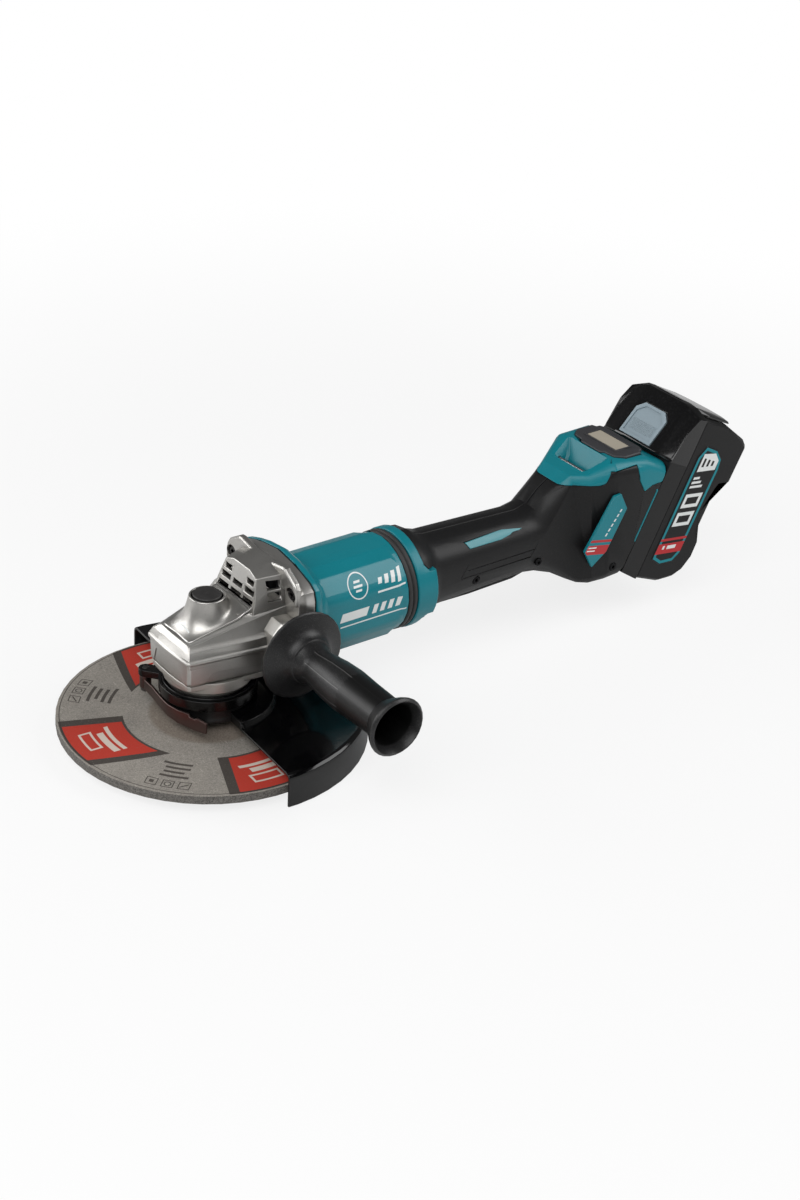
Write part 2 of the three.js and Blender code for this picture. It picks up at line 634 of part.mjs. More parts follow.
// Shallow panels sunk into the nose, [y, z], and into both sides, [x, z].
const SUNK = {
  depth: 0.6,
  nose: [[21.6, LEDGE.low - 2], [16.6, 63.6], [14.6, 65], [-14.6, 65], [-16.6, 63.6], [-21.6, LEDGE.low - 2]],
  side: [[-22.6, LEDGE.low - 2], [-17.4, 57.8], [-15.6, 59.4], [-12.6, 60], [27, 58], [27, LEDGE.low - 2]],
};

function sunkPanels() {
  const nose = slab(outline(SUNK.nose), 20).rotateX(Math.PI / 2).rotateZ(Math.PI / 2).translate(-50, 0, 0);
  const near = acrossY(SUNK.side, -60, -24);
  const far = acrossY(SUNK.side, 24, 60);
  return [nose, near, far].map((region) => cut(region, skirtBody(SUNK.depth)));
}

function gearCase() {
  const shell = join(
    cut(skirtBody(0), ...sunkPanels()), hoodGeometry(), deckCrown(), lockBossGeometry(), humpGeometry(0),
    humpFoot(), flangeGeometry(), wingGeometry(1), wingGeometry(-1), handlePad(1), handlePad(-1),
  );
  const gearRoom = rod(GEAR_ROOM.radius, LEDGE.low - 1, GEAR_ROOM.top);
  const spindleTop = rod(UPPER_BEARING.outer + GAP, 70, UPPER_BEARING.to + GAP, SMALL_ROUND);
  const pinionTunnel = alongMotor(rod(FRONT_BEARING.outer + GAP, 0, FAN.from, SMALL_ROUND));
  const fanRoom = alongMotor(rod(FAN_ROOM, FAN.from - 1, SEAM_X + 5));
  const airway = box(44, FAN.from, -24, 24, 98, 113);
  const humpRoom = humpGeometry(2.6);
  const pocketFloor = LOCK_BOSS.topZ - LOCK_BOSS.pocketDepth;
  const button = rod(LOCK_BOSS.pocket, pocketFloor, LOCK_BUTTON.top, 24).translate(LOCK_BOSS.x, 0, 0);
  const pin = rod(LOCK_BOSS.pinRadius + GAP, 60, pocketFloor + 1, 10).translate(LOCK_BOSS.pinX, 0, 0);
  const seats = screwRooms(FLANGE_SCREW.headRoom, 35, FLANGE_PLATE.seat);
  const bolts = [1, -1].map((side) => {
    const floor = HANDLE.padOuter - HANDLE.boltIn - 1;
    const bore = rod(HANDLE.boltRadius + GAP, floor, HANDLE.padOuter + 2, SMALL_ROUND);
    return side > 0 ? alongHandle(bore) : mirrored(alongHandle(bore));
  });
  return cut(shell, gearRoom, spindleTop, pinionTunnel, fanRoom, airway, humpRoom, button, pin,
    ...screwBores(), ...seats, ...bolts, ...ventCutters());
}
piece('gear_case', gearCase(), CAST);

SCREW_PLACES.forEach(([y, z], i) => {
  const { head, radius, length } = FLANGE_SCREW;
  const bolt = screw(`flange_screw_${i + 1}`, head, head, radius, length);
  bolt.rotation.y = -Math.PI / 2;
  bolt.position.set(FLANGE_PLATE.seat - GAP, y, AXIS_Z + z);
});

// ---------------------------------------------------------------- shaft lock
function dShape(radius, flat) {
  const shape = new THREE.Shape();
  const half = Math.acos(flat / radius);
  shape.absarc(0, 0, radius, half, 2 * Math.PI - half, false);
  shape.closePath();
  return shape;
}

function lockButton() {
  const { radius, flatX, top, pinTip } = LOCK_BUTTON;
  const low = LOCK_BOSS.topZ - 2.5;
  const cap = slab(dShape(radius, flatX), top - low).translate(LOCK_BOSS.x, 0, low);
  const dimple = turned([[0, top - 0.8], [1.6, top + 0.5], [0, top + 0.5]], 10);
  const pin = rod(LOCK_BOSS.pinRadius, pinTip, low + 1, 10).translate(LOCK_BOSS.pinX, 0, 0);
  return cut(join(cap, pin), dimple.translate(LOCK_BOSS.x, 0, 0));
}
piece('lock_button', lockButton(), BLACK);

function coil(radius, wire, low, high, turns) {
  const perTurn = 8;
  const points = Array.from({ length: turns * perTurn + 1 }, (_, i) => {
    const angle = (2 * Math.PI * i) / perTurn;
    return new THREE.Vector3(radius * Math.cos(angle), radius * Math.sin(angle),
      THREE.MathUtils.lerp(low + wire, high - wire, i / (turns * perTurn)));
  });
  const section = outline([[wire, 0], [0, wire], [-wire, 0], [0, -wire]]);
  return new THREE.ExtrudeGeometry(section, {
    steps: turns * perTurn, bevelEnabled: false, extrudePath: new THREE.CatmullRomCurve3(points),
  });
}
piece('lock_spring', coil(4.2, 0.5, LOCK_BOSS.topZ - 6.8, LOCK_BOSS.topZ - 2.9, 2)
  .translate(LOCK_BOSS.x + 2, 0, 0), STEEL);

// ---------------------------------------------------------------- motor housing
// Distance from the motor axis to a closed section along one direction.
function sectionReach(section, angle) {
  const [dx, dy] = [Math.cos(angle), Math.sin(angle)];
  let reach = 0;
  section.forEach(([ax, ay], i) => {
    const [bx, by] = section[(i + 1) % section.length];
    const [ex, ey] = [bx - ax, by - ay];
    const bottom = dx * ey - dy * ex;
    if (Math.abs(bottom) < 1e-9) return;
    const along = (ax * ey - ay * ex) / bottom;
    const share = (ax * dy - ay * dx) / bottom;
    if (along > 0 && share > -1e-6 && share < 1 + 1e-6) reach = Math.max(reach, along);
  });
  return reach;
}

// Sections given the same directions, so that unlike outlines can be skinned together.
function matched(sections) {
  const turns = sections.flat().map(([y, z]) => Math.round(Math.atan2(z, y) * 50) / 50);
  const angles = [...new Set(turns)].sort((a, b) => a - b);
  return sections.map((section) => angles.map((angle) => {
    const reach = sectionReach(section, angle);
    return [reach * Math.cos(angle), reach * Math.sin(angle)];
  }));
}

function between(first, second, share) {
  return first.map(([y, z], i) => [
    THREE.MathUtils.lerp(y, second[i][0], share), THREE.MathUtils.lerp(z, second[i][1], share),
  ]);
}

// Barrel section: wide flats above and below, a flat panel each side, and sloping facets between.
function barrelSection(grow) {
  const { halfWidth, panelHigh, panelLow, flat } = BARREL;
  const side = [
    [flat, halfWidth], [flat + 12, halfWidth - 4.4], [halfWidth - 4.6, panelHigh + 9], [halfWidth, panelHigh],
    [halfWidth, panelLow], [halfWidth - 4, panelLow - 9], [flat + 13, 5 - halfWidth], [flat, -halfWidth],
  ];
  const full = [...side, ...side.slice().reverse().map(([y, z]) => [-y, z])];
  return full.map(([y, z]) => {
    const share = 1 + grow / Math.hypot(y, z);
    return [y * share, z * share];
  });
}

function motorHousing() {
  const circle = Array.from({ length: 24 }, (_, i) => {
    const angle = (Math.PI * i) / 12;
    return [39.7 * Math.cos(angle), 39.7 * Math.sin(angle)];
  });
  const [wide, slim, round] = matched([flangeSection(0), barrelSection(0), circle]);
  const steps = [[0, 0], [4.5, 0.03], [8, 0.2], [13, 0.62], [17, 0.88], [21, 1]];
  const flare = steps.map(([along, share]) => stationRing(HOUSING_START + along, between(wide, slim, share)));
  const barrel = [[BARREL.end - 9, 0], [BARREL.end - 4, 1], [BARREL.end, 1]].map(([x, share]) => (
    stationRing(x, between(slim, round, share))));
  const shell = loft([...flare, ...barrel]);
  const room = alongMotor(turned([
    [0, SEAM_X - 2], [FAN_ROOM, SEAM_X - 2], [FAN_ROOM, SEAM_X + 3], [BARREL.inner, SEAM_X + 10],
    [BARREL.inner, 143],
    [REAR_BEARING.outer + GAP, 145], [REAR_BEARING.outer + GAP, REAR_BEARING.to + GAP],
    [SHAFT.radius + 1.5, REAR_BEARING.to + GAP], [SHAFT.radius + 1.5, BARREL.end + 2], [0, BARREL.end + 2],
  ]));
  return cut(shell, room, ...screwBores());
}
piece('motor_housing', motorHousing(), TEAL);

function seamGasket() {
  const from = SEAM_X - GASKET / 2;
  const to = SEAM_X + GASKET / 2;
  const sheet = loft([stationRing(from, flangeSection(0.6)), stationRing(to, flangeSection(0.6))]);
  return cut(sheet, alongMotor(rod(FAN_ROOM, from - 1, to + 1)), ...screwBores());
}
piece('seam_gasket', seamGasket(), RUBBER);

function stator() {
  const yoke = ring(STATOR.outer - 4, STATOR.outer, STATOR.from + 8, STATOR.to - 8);
  const teeth = Array.from({ length: STATOR.slots }, (_, i) => {
    const tooth = box(STATOR.inner + 1, STATOR.outer - 2, -7, 7, STATOR.from, STATOR.to);
    return tooth.rotateZ((2 * Math.PI * i) / STATOR.slots);
  });
  return alongMotor(cut(join(yoke, ...teeth), rod(STATOR.inner, STATOR.from - 1, STATOR.to + 1)));
}
piece('stator', stator(), COPPER);

// ---------------------------------------------------------------- damping ring and collar
piece('damping_ring', alongMotor(turned([
  [DAMPER.inner, DAMPER.from], [DAMPER.radius - 1, DAMPER.from], [DAMPER.radius, DAMPER.from + 1.2],
  [DAMPER.radius, DAMPER.from + 3], [DAMPER.radius - 1.6, DAMPER.from + 4.2], [DAMPER.radius, DAMPER.to - 3],
  [DAMPER.radius, DAMPER.to - 1.2], [DAMPER.radius - 1, DAMPER.to], [DAMPER.inner, DAMPER.to],
  [DAMPER.inner, DAMPER.from],
], 36)), RUBBER);

function collarGeometry(clearance) {
  const full = alongMotor(turned([
    [COLLAR.inner - clearance, COLLAR.from], [COLLAR.outer - 0.8, COLLAR.from],
    [COLLAR.outer, COLLAR.from + 1],
    [COLLAR.outer, COLLAR.sideTo - 1 + clearance], [COLLAR.outer - 0.8, COLLAR.sideTo + clearance],
    [COLLAR.inner - clearance, COLLAR.sideTo + clearance], [COLLAR.inner - clearance, COLLAR.from],
  ], 40));
  const side = COLLAR.sideHalf + clearance;
  const away = [1, -1].map((turn) => acrossY([
    [COLLAR.ringTo + clearance, AXIS_Z + turn * 60], [COLLAR.ringTo + clearance, AXIS_Z + turn * (side + 5)],
    [COLLAR.ringTo + clearance + 4, AXIS_Z + turn * side], [COLLAR.sideTo + 3, AXIS_Z + turn * side],
    [COLLAR.sideTo + 3, AXIS_Z + turn * 60],
  ], -60, 60));
  return cut(full, ...away);
}
piece('collar', collarGeometry(0), TEAL);

// ---------------------------------------------------------------- handle shells
// Battery frame: its Z is the slide axis, its X points out of the tool's rear face.
const TILT = THREE.MathUtils.degToRad(BATTERY_TILT);

function inBatteryFrame(geometry) {
  return geometry.rotateY(TILT).translate(BATTERY_SEAT.x, 0, BATTERY_SEAT.z);
}

function batteryPoint(out, along) {
  return [
    BATTERY_SEAT.x + out * Math.cos(TILT) + along * Math.sin(TILT),
    BATTERY_SEAT.z - out * Math.sin(TILT) + along * Math.cos(TILT),
  ];
}

// Each station: lowest and highest point in the XZ plane, half width, corner radius.
const REAR_LOW = batteryPoint(TOOL_FACE + 30, 3);
const REAR_TOP = batteryPoint(TOOL_FACE + 30, 101);
const NECK = COLLAR.inner - 0.6; // the shells reach into the collar
const SHOULDER_X = COLLAR.ringTo + GAP;
const BODY_STATIONS = [
  { low: [COLLAR.from + 1, AXIS_Z - NECK], top: [COLLAR.from + 1, AXIS_Z + NECK], half: NECK, corner: 34 },
  { low: [COLLAR.ringTo, AXIS_Z - NECK], top: [COLLAR.ringTo, AXIS_Z + NECK], half: NECK, corner: 34 },
  { low: [SHOULDER_X, AXIS_Z - 39], top: [SHOULDER_X, AXIS_Z + 39.6], half: 39.6, corner: 39, wall: 8 },
  { low: [183, AXIS_Z - 38], top: [183, AXIS_Z + 38.4], half: 38.6, corner: 37, wall: 7 },
  { low: [190, AXIS_Z - 33.5], top: [190, AXIS_Z + 33.4], half: 33, corner: 30 },
  { low: [199, AXIS_Z - 30.5], top: [199, AXIS_Z + 30.6], half: 28.6, corner: 25 },
  { low: [250, AXIS_Z - 28.5], top: [250, AXIS_Z + 28.6], half: 27, corner: 23 },
  { low: [292, AXIS_Z - 27], top: [292, AXIS_Z + 26.8], half: 25.5, corner: 21 },
  { low: [306, AXIS_Z - 28], top: [304, AXIS_Z + 29.5], half: 26, corner: 19, topHalf: 22 },
  { low: [320, 42.5], top: [315, 114], half: 28.6, corner: 15, topHalf: 17.5 },
  { low: [330, 38.2], top: [328, 122.6], half: 32.5, corner: 8, topHalf: 17.6 },
  { low: [337, 35.6], top: [334, 127.6], half: 36, corner: 5, topHalf: 18 },
  { low: [347, 33.6], top: [346.5, 128.4], half: 40.5, corner: 7, topHalf: 27.5 },
  { low: [361, 32.6], top: [366, 138], half: 42.4, corner: 10, topHalf: 38.5 },
  { low: [384, 33.6], top: [398, 137], half: 42.4, corner: 11 },
  { low: REAR_LOW, top: REAR_TOP, half: 42, corner: 11 },
];

const SHOULDER = 0.62; // share of the height above which the front corners lean in

function bodyLoft(hollow) {
  return loft(BODY_STATIONS.map(({ low, top, half, corner, topHalf = half, wall = GRIP_WALL }) => {
    const inset = hollow ? wall : 0;
    const height = Math.hypot(top[0] - low[0], top[1] - low[1]);
    const section = roundedSection(half - inset, height - inset, -inset, Math.max(corner - inset, 2), 4);
    return section.map(([y, rise]) => {
      const share = rise / height;
      const lean = Math.max(0, (share - SHOULDER) / (1 - SHOULDER));
      const narrow = THREE.MathUtils.lerp(1, (topHalf - inset) / (half - inset), lean);
      return new THREE.Vector3(
        THREE.MathUtils.lerp(low[0], top[0], share), y * narrow, THREE.MathUtils.lerp(low[1], top[1], share),
      );
    });
  }));
}

// Room of the teal top cap; the shells stop below it. Its middle reaches lower, under pocket and lid.
function capRegion(clearance) {
  const c = clearance;
  const whole = acrossY([
    [295, 120.6 - c], [353.5, 120.6 - c], [357, 122 - c], [362, 132 - c], [386.4 - c, 133.4 - c],
    [389 - c, 120 - c], [395, 108.6 - c], [403, 112 - c], [440, 113.4 - c], [440, 160], [295, 160],
  ], -60, 60);
  const underPocket = box(342 - c, 368 + c, -22 - c, 22 + c, 114 - c, 150);
  const underLid = box(367 - c, 450, -33 - c, 33 + c, 121 - c, 150);
  return join(whole, underPocket, underLid);
}

const REAR_CUT = inBatteryFrame(box(TOOL_FACE, TOOL_FACE + 120, -60, 60, -80, 220));
const PADDLE_ROOM = acrossY([
  [PADDLE.front - 1, 20], [PADDLE.front - 1, 66], [PADDLE.pivotX + 8, 66], [PADDLE.pivotX + 8, 20],
], -PADDLE.halfWidth - 0.6, PADDLE.halfWidth + 0.6);

function railGeometry(side) {
  const root = TOOL_FACE - 1;
  const head = TOOL_FACE + RAIL.reach;
  const neck = RAIL.y + RAIL.width;
  const section = outline([
    [root, RAIL.y], [head, RAIL.y], [head, neck + RAIL.lip], [head - RAIL.head, neck + RAIL.lip],
    [head - RAIL.head, neck], [root, neck],
  ]);
  const rail = slab(section, RAIL.to - RAIL.from).translate(0, 0, RAIL.from);
  return inBatteryFrame(side > 0 ? rail : mirrored(rail));
}

const PLATE_FACE = 42.4;
const PLATE_POINTS = [[362, 112.6], [369, 113], [377, 98], [358.5, 63], [344, 52.5], [335, 68.5]];
const INLAY = {
  angle: 45, depth: 1.2, face: 30.4,
  corners: [
    [226.2, 3.6], [229.4, -2.4], [268.6, -2.4], [274.7, 0.8], [280, 0.8], [282.9, -2.7], [289.6, -2.7],
    [284.3, 6.6],
  ],
};

function sidePlate(side, grow) {
  const shape = outline(grown(PLATE_POINTS, grow));
  const depth = 2.6;
  const plate = slab(shape, depth + 0.4 + 2 * grow).rotateX(Math.PI / 2);
  const placed = plate.translate(0, -PLATE_FACE + depth + grow, 0);
  return side < 0 ? placed : mirrored(placed);
}

// Long narrow strip let into the shoulder of the grip, in a turned frame about the motor axis.
function gripInlay(side, grow) {
  const { angle, depth, face, corners } = INLAY;
  const strip = slab(outline(grown(corners, grow)), face).translate(0, 0, face - depth - grow);
  const turn = THREE.MathUtils.degToRad(90 - angle);
  const placed = strip.rotateX(turn).translate(0, 0, AXIS_Z - 1);
  return side < 0 ? placed : mirrored(placed);
}

// Thin teal line let into each side along the rear edge, in the battery frame, [out, along].
const TRIM = {
  face: 41,
  corners: [
    [TOOL_FACE - 1.7, 31], [TOOL_FACE, 31], [TOOL_FACE, 78.2], [TOOL_FACE - 5, 80.6], [TOOL_FACE - 5, 78.9],
    [TOOL_FACE - 1.7, 77.2],
  ],
};

function rearTrim(side, grow) {
  const prism = acrossY(grown(TRIM.corners, grow), -TRIM.face - 8, grow - TRIM.face);
  const strip = inBatteryFrame(prism);
  return side < 0 ? strip : mirrored(strip);
}

// Shallow grooves that frame the grip's side panel, each from one corner to the next.
const PANEL_LINES = [
  [[228.3, 82.7], [299.8, 82.8]], [[224.7, 75.8], [296.9, 75]], [[218.8, 70.2], [291.6, 69]],
  [[226, 82.4], [218.2, 70.6]], [[298.8, 80.6], [291.8, 69.2]], [[276.9, 88.8], [281.7, 84.3]],
];
const PANEL_GROOVE = { half: 0.3, depth: 0.5 };

function bodyHalfAt(x) {
  const next = BODY_STATIONS.findIndex((station) => station.low[0] > x);
  const [before, after] = [BODY_STATIONS[next - 1], BODY_STATIONS[next]];
  return THREE.MathUtils.mapLinear(x, before.low[0], after.low[0], before.half, after.half);
}

function panelLine([start, end], side) {
  const ringAt = ([x, z]) => [[0, -1], [0, 1], [1, 1], [1, -1]].map(([deep, up]) => new THREE.Vector3(
    x, side * (bodyHalfAt(x) + (deep ? -PANEL_GROOVE.depth : 4)), z + up * PANEL_GROOVE.half,
  ));
  return loft([ringAt(start), ringAt(end)]);
}

// Screws that close the two handle shells: x, z and the depth of the head's seat.
const SHELL_SCREWS = [[235, 64.3, 25], [300, 62, 25], [368, 46, 41]];
const SHELL_SCREW = { head: 3.4, headHeight: 2, shank: 1.6, length: 10 };

function shellScrewBore(x, z, seat) {
  const head = rod(SHELL_SCREW.head + GAP, seat - GAP, seat + 8, 12);
  const shank = rod(SHELL_SCREW.shank + GAP, seat - SHELL_SCREW.length - GAP, seat, 8);
  return join(head, shank).rotateX(Math.PI / 2).translate(x, 0, z);
}

const PORT = { half: 22, low: 20, high: 80 }; // opening in the rear wall for the terminal block

function handleShell(side) {
  const half = side < 0 ? box(100, 520, -80, -GAP / 2, -20, 200) : box(100, 520, GAP / 2, 80, -20, 200);
  const rooms = [bodyLoft(true), capRegion(GAP), REAR_CUT, PADDLE_ROOM, collarGeometry(GAP)];
  const shell = cut(bodyLoft(false), ...rooms);
  const wallRegion = inBatteryFrame(box(TOOL_FACE - 4, TOOL_FACE, -60, 60, -80, 220));
  const rear = common(cut(bodyLoft(false), capRegion(GAP)), wallRegion);
  const port = inBatteryFrame(box(TOOL_FACE - 8, TOOL_FACE + 4, -PORT.half, PORT.half, PORT.low, PORT.high));
  const body = join(common(join(shell, cut(rear, port)), half), common(railGeometry(side), half));
  const bores = side < 0 ? SHELL_SCREWS.map(([x, z, seat]) => shellScrewBore(x, z, seat)) : [];
  const grooves = PANEL_LINES.map((line) => panelLine(line, side));
  return cut(body, sidePlate(side, GAP), gripInlay(side, GAP), rearTrim(side, GAP), ...grooves, ...bores);
}
piece('handle_shell_left', handleShell(-1), BLACK);
piece('handle_shell_right', handleShell(1), BLACK);

[[-1, 'left'], [1, 'right']].forEach(([side, name]) => {
  piece(`side_plate_${name}`, sidePlate(side, 0), TEAL);
  const strip = common(gripInlay(side, 0), cut(bodyLoft(false), bodyLoft(true)));
  piece(`grip_inlay_${name}`, strip, TEAL);
  piece(`rear_trim_${name}`, common(rearTrim(side, 0), bodyLoft(false)), TEAL);
});

SHELL_SCREWS.forEach(([x, z, seat], i) => {
  const { head, headHeight, shank, length } = SHELL_SCREW;
  const fastener = screw(`shell_screw_${i + 1}`, head, headHeight, shank, length, DARK_STEEL);
  fastener.rotation.x = Math.PI / 2;
  fastener.position.set(x, -seat, z);
});

// ---------------------------------------------------------------- top cap, tether bar and lid
// The pocket's rings, from its floor up: height, front, rear and half width.
const POCKET = [
  { z: 117.8, front: 347.3, rear: 357.6, half: 15.8 }, { z: 121.6, front: 346.8, rear: 358.2, half: 16.2 },
  { z: 126, front: 346.4, rear: 361, half: 17 }, { z: 137, front: 346.2, rear: 367, half: 24 },
  { z: 148, front: 346, rear: 373, half: 31 },
];
const TETHER = { x: 351.6, z: 125, radius: 1.5, half: 18.8 };
const LID = { top: 139.2, thickness: 3.2, edge: 0.9, middle: 388.1 };
const LID_SIDE = [
  [368.8, 11.6], [372, 14.4], [373.2, 24.6], [380.4, 30.8], [397, 30.8], [398.6, 26.8], [402, 26.4],
  [403.6, 22],
];
const WINDOW_SIZE = { x: 7.2, y: 17.8, rim: 1.8, thickness: 1.6 };

function lidOutline(grow) {
  return grown([...LID_SIDE, ...LID_SIDE.slice().reverse().map(([x, y]) => [x, -y])], grow);
}

function topCap() {
  const body = common(common(bodyLoft(false), capRegion(0)), cut(box(280, 500, -80, 80, 60, 200), REAR_CUT));
  const pocket = loft(POCKET.map(({ z, front, rear, half }) => [
    [front, -half + 2], [front, half - 2], [front + 2, half], [rear - 2, half],
    [rear, half - 2], [rear, 2 - half], [rear - 2, -half], [front + 2, -half],
  ].map(([x, y]) => new THREE.Vector3(x, y, z))));
  const bore = rod(TETHER.radius + GAP, -TETHER.half - 0.5, TETHER.half + 0.5, 10).rotateX(Math.PI / 2)
    .translate(TETHER.x, 0, TETHER.z);
  const seat = slab(outline(lidOutline(GAP)), 30).translate(0, 0, LID.top - LID.thickness - GAP);
  const slot = box(LID.middle - 10, LID.middle + 10, -20, 20, LID.top - 12, 170);
  return cut(body, pocket, bore, seat, slot);
}
piece('top_cap', topCap(), TEAL);

piece('tether_bar', rod(TETHER.radius, -TETHER.half, TETHER.half, 10).rotateX(Math.PI / 2)
  .translate(TETHER.x, 0, TETHER.z), STEEL);

function windowBlock(grow, low, high) {
  const { x, y } = WINDOW_SIZE;
  return box(LID.middle - x - grow, LID.middle + x + grow, -y - grow, y + grow, low, high);
}

function lidFrame() {
  const { top, thickness, edge } = LID;
  const level = (grow, z) => lidOutline(grow).map(([x, y]) => new THREE.Vector3(x, y, z));
  const plate = loft([level(0, top - thickness), level(0, top - edge), level(-edge, top)]);
  const rim = windowBlock(WINDOW_SIZE.rim, top - 1, top + 1);
  return cut(join(plate, rim), windowBlock(GAP, top - WINDOW_SIZE.thickness - GAP, top + 5));
}
piece('lid', lidFrame(), GREY);
piece('lid_window', windowBlock(0, LID.top - WINDOW_SIZE.thickness, LID.top + 0.5), WINDOW);

// ---------------------------------------------------------------- inside the handle
const SWITCH = { from: 222, to: 262, half: 10.5, low: 67, high: 88, plungerX: 256, plunger: 2.4, reach: 6 };
const CONTROLLER = { from: 334, to: 358, half: 22, low: 54, high: 96, fins: 5, finDepth: 4, finWidth: 3 };
const TERMINALS = { half: 21, low: 21, high: 79, inside: 9, proud: 3, reach: 8.5, places: [-15, -5, 5, 15] };

function triggerSwitch() {
  const { from, to, half, low, high, plungerX, plunger, reach } = SWITCH;
  const body = box(from, to, -half, half, low, high);
  return join(body, rod(plunger, low - reach, low + 1, 12).translate(plungerX, 0, 0));
}
piece('trigger_switch', triggerSwitch(), BLACK);

function controllerGeometry() {
  const { from, to, half, low, high, fins, finDepth, finWidth } = CONTROLLER;
  const pitch = (2 * half - finWidth) / (fins - 1);
  const blades = Array.from({ length: fins }, (_, i) => (
    box(to - 1, to + finDepth, i * pitch - half, i * pitch - half + finWidth, low + 2, high - 2)));
  return join(box(from, to, -half, half, low, high), ...blades);
}
piece('controller', controllerGeometry(), GREY);

function terminalBlock() {
  const { half, low, high, inside, proud, reach, places } = TERMINALS;
  const body = box(TOOL_FACE - inside, TOOL_FACE + proud, -half, half, low, high);
  const blades = places.map((y) => (
    box(TOOL_FACE + proud - 1, TOOL_FACE + reach, y - 1, y + 1, low + 19, high - 5)));
  return inBatteryFrame(join(body, ...blades));
}
piece('terminal_block', terminalBlock(), DARK_STEEL);

// ---------------------------------------------------------------- guard
const BEYOND = GUARD.radius + 7; // past the guard on every side

function guardGeometry() {
  const { radius, wall, plateTop, skirtLow, edgeRound, hubRadius, hubRise, collarInner, collarWall } = GUARD;
  const arc = (middle, high, size) => [0, 1, 2, 3].map((i) => {
    const angle = (i * Math.PI) / 6;
    return [middle + size * Math.sin(angle), high + size * Math.cos(angle)];
  });
  const under = plateTop - wall;
  const shell = turned([
    [collarInner + 2, under], [collarInner + 2, plateTop],
    ...arc(radius - edgeRound, plateTop - edgeRound, edgeRound), [radius, skirtLow],
    [radius - wall, skirtLow], ...arc(radius - edgeRound, plateTop - edgeRound, edgeRound - wall).reverse(),
    [collarInner + 2, under],
  ], GUARD.segments);
  const hubTop = plateTop + hubRise;
  const wide = turned([
    [collarInner + 2, under], [hubRadius - 1, under], [hubRadius, plateTop], [hubRadius - 2, hubTop],
    [collarInner + collarWall + 5, hubTop + 1.4], [collarInner + 2, hubTop + 1.4], [collarInner + 2, under],
  ], GUARD.segments);
  const turn = THREE.MathUtils.degToRad(GUARD.edgeTurn);
  const rearHalf = box(0, BEYOND, -BEYOND, BEYOND, -30, 60).rotateZ(-turn);
  const collar = turned([
    [collarInner, under], [GUARD.frontHub - 1, under], [GUARD.frontHub, under + 1],
    [GUARD.frontHub, plateTop + 1], [collarInner + collarWall, hubTop],
    [collarInner + collarWall, GUARD.collarTop], [collarInner, GUARD.collarTop], [collarInner, under],
  ], 36);
  return join(common(join(shell, wide), rearHalf), collar);
}
piece('guard', guardGeometry(), BLACK_STEEL);

const BAND_INNER = GUARD.collarInner + GUARD.collarWall + GAP;

function onGuard(geometry) {
  return geometry.rotateZ(Math.atan2(PIVOT.y, PIVOT.x));
}

// Open clamp band with the ear that carries the lever's pivot.
function guardBand() {
  const hoop = ring(BAND_INNER, BAND_INNER + BAND.wall, BAND.from + 4.2, BAND.to, 36);
  const pivotRadius = Math.hypot(PIVOT.x, PIVOT.y);
  const ear = join(
    box(BAND_INNER + 0.8, pivotRadius, -BAND.earWidth / 2, BAND.earWidth / 2, BAND.earLow, BAND.to - 1),
    rod(BAND.earWidth / 2, BAND.earLow, BAND.to - 1, 16).translate(pivotRadius, 0, 0),
  );
  const slit = box(BAND_INNER - 2, BAND_INNER + 8, -BAND.slit / 2, BAND.slit / 2, 0, 60).rotateZ(-0.32);
  const bore = rod(PIVOT.radius + GAP, 0, 60, 10).translate(pivotRadius, 0, 0);
  return onGuard(cut(join(hoop, ear), slit, bore));
}
piece('guard_band', guardBand(), BLACK_STEEL);

const PIVOT_LOW = LEVER.eyeLow - 3.5;
piece('lever_pivot', turned([
  [0, PIVOT_LOW], [PIVOT.headRadius - 0.8, PIVOT_LOW], [PIVOT.headRadius, PIVOT_LOW + 0.8],
  [PIVOT.headRadius, LEVER.eyeLow - GAP], [PIVOT.radius, LEVER.eyeLow - GAP], [PIVOT.radius, BAND.to - 0.6],
  [0, BAND.to - 0.6],
], 12).translate(PIVOT.x, PIVOT.y, 0), DARK_STEEL);

// Bent strap beside the collar that swings out about its eye. Stations of its outer face, from the
// eye to the tip: x, y, lower and upper edge; the step in the middle is a crease across the strap.
const LEVER_LINE = [
  [-35.6, 34.6, 18.6, 27], [-36.2, 22, 17.8, 27], [-38.4, 7, 17.4, 26.8], [-39.2, -5.5, 16.6, 26.8],
  [-37.4, -16, 15.8, 27], [-33.6, -25, 15.2, 27], [-33.1, -26, 15, 24.6], [-31.4, -31, 14.6, 24.6],
  [-31, -32, 14.8, 26], [-28.2, -41, 16, 25],
];

function guardLever() {
  const rings = LEVER_LINE.map(([x, y, low, high], i) => {
    const [px, py] = LEVER_LINE[Math.max(i - 1, 0)];
    const [nx, ny] = LEVER_LINE[Math.min(i + 1, LEVER_LINE.length - 1)];
    const length = Math.hypot(nx - px, ny - py);
    const innerX = x - ((ny - py) / length) * LEVER.wall;
    const innerY = y + ((nx - px) / length) * LEVER.wall;
    return [[x, y, low], [x, y, high], [innerX, innerY, high], [innerX, innerY, low]]
      .map((corner) => new THREE.Vector3(...corner));
  });
  const eye = rod(LEVER.eye, LEVER.eyeLow, BAND.earLow - GAP, 16).translate(PIVOT.x, PIVOT.y, 0);
  const low = rod(LEVER.eye + 0.8, 0, LEVER.eyeLow, 16).translate(PIVOT.x, PIVOT.y, 0);
  const bore = rod(PIVOT.radius + GAP, 0, BAND.to, 10).translate(PIVOT.x, PIVOT.y, 0);
  return cut(join(loft(rings), eye), bore, low);
}
piece('guard_lever', guardLever(), DARK_STEEL);

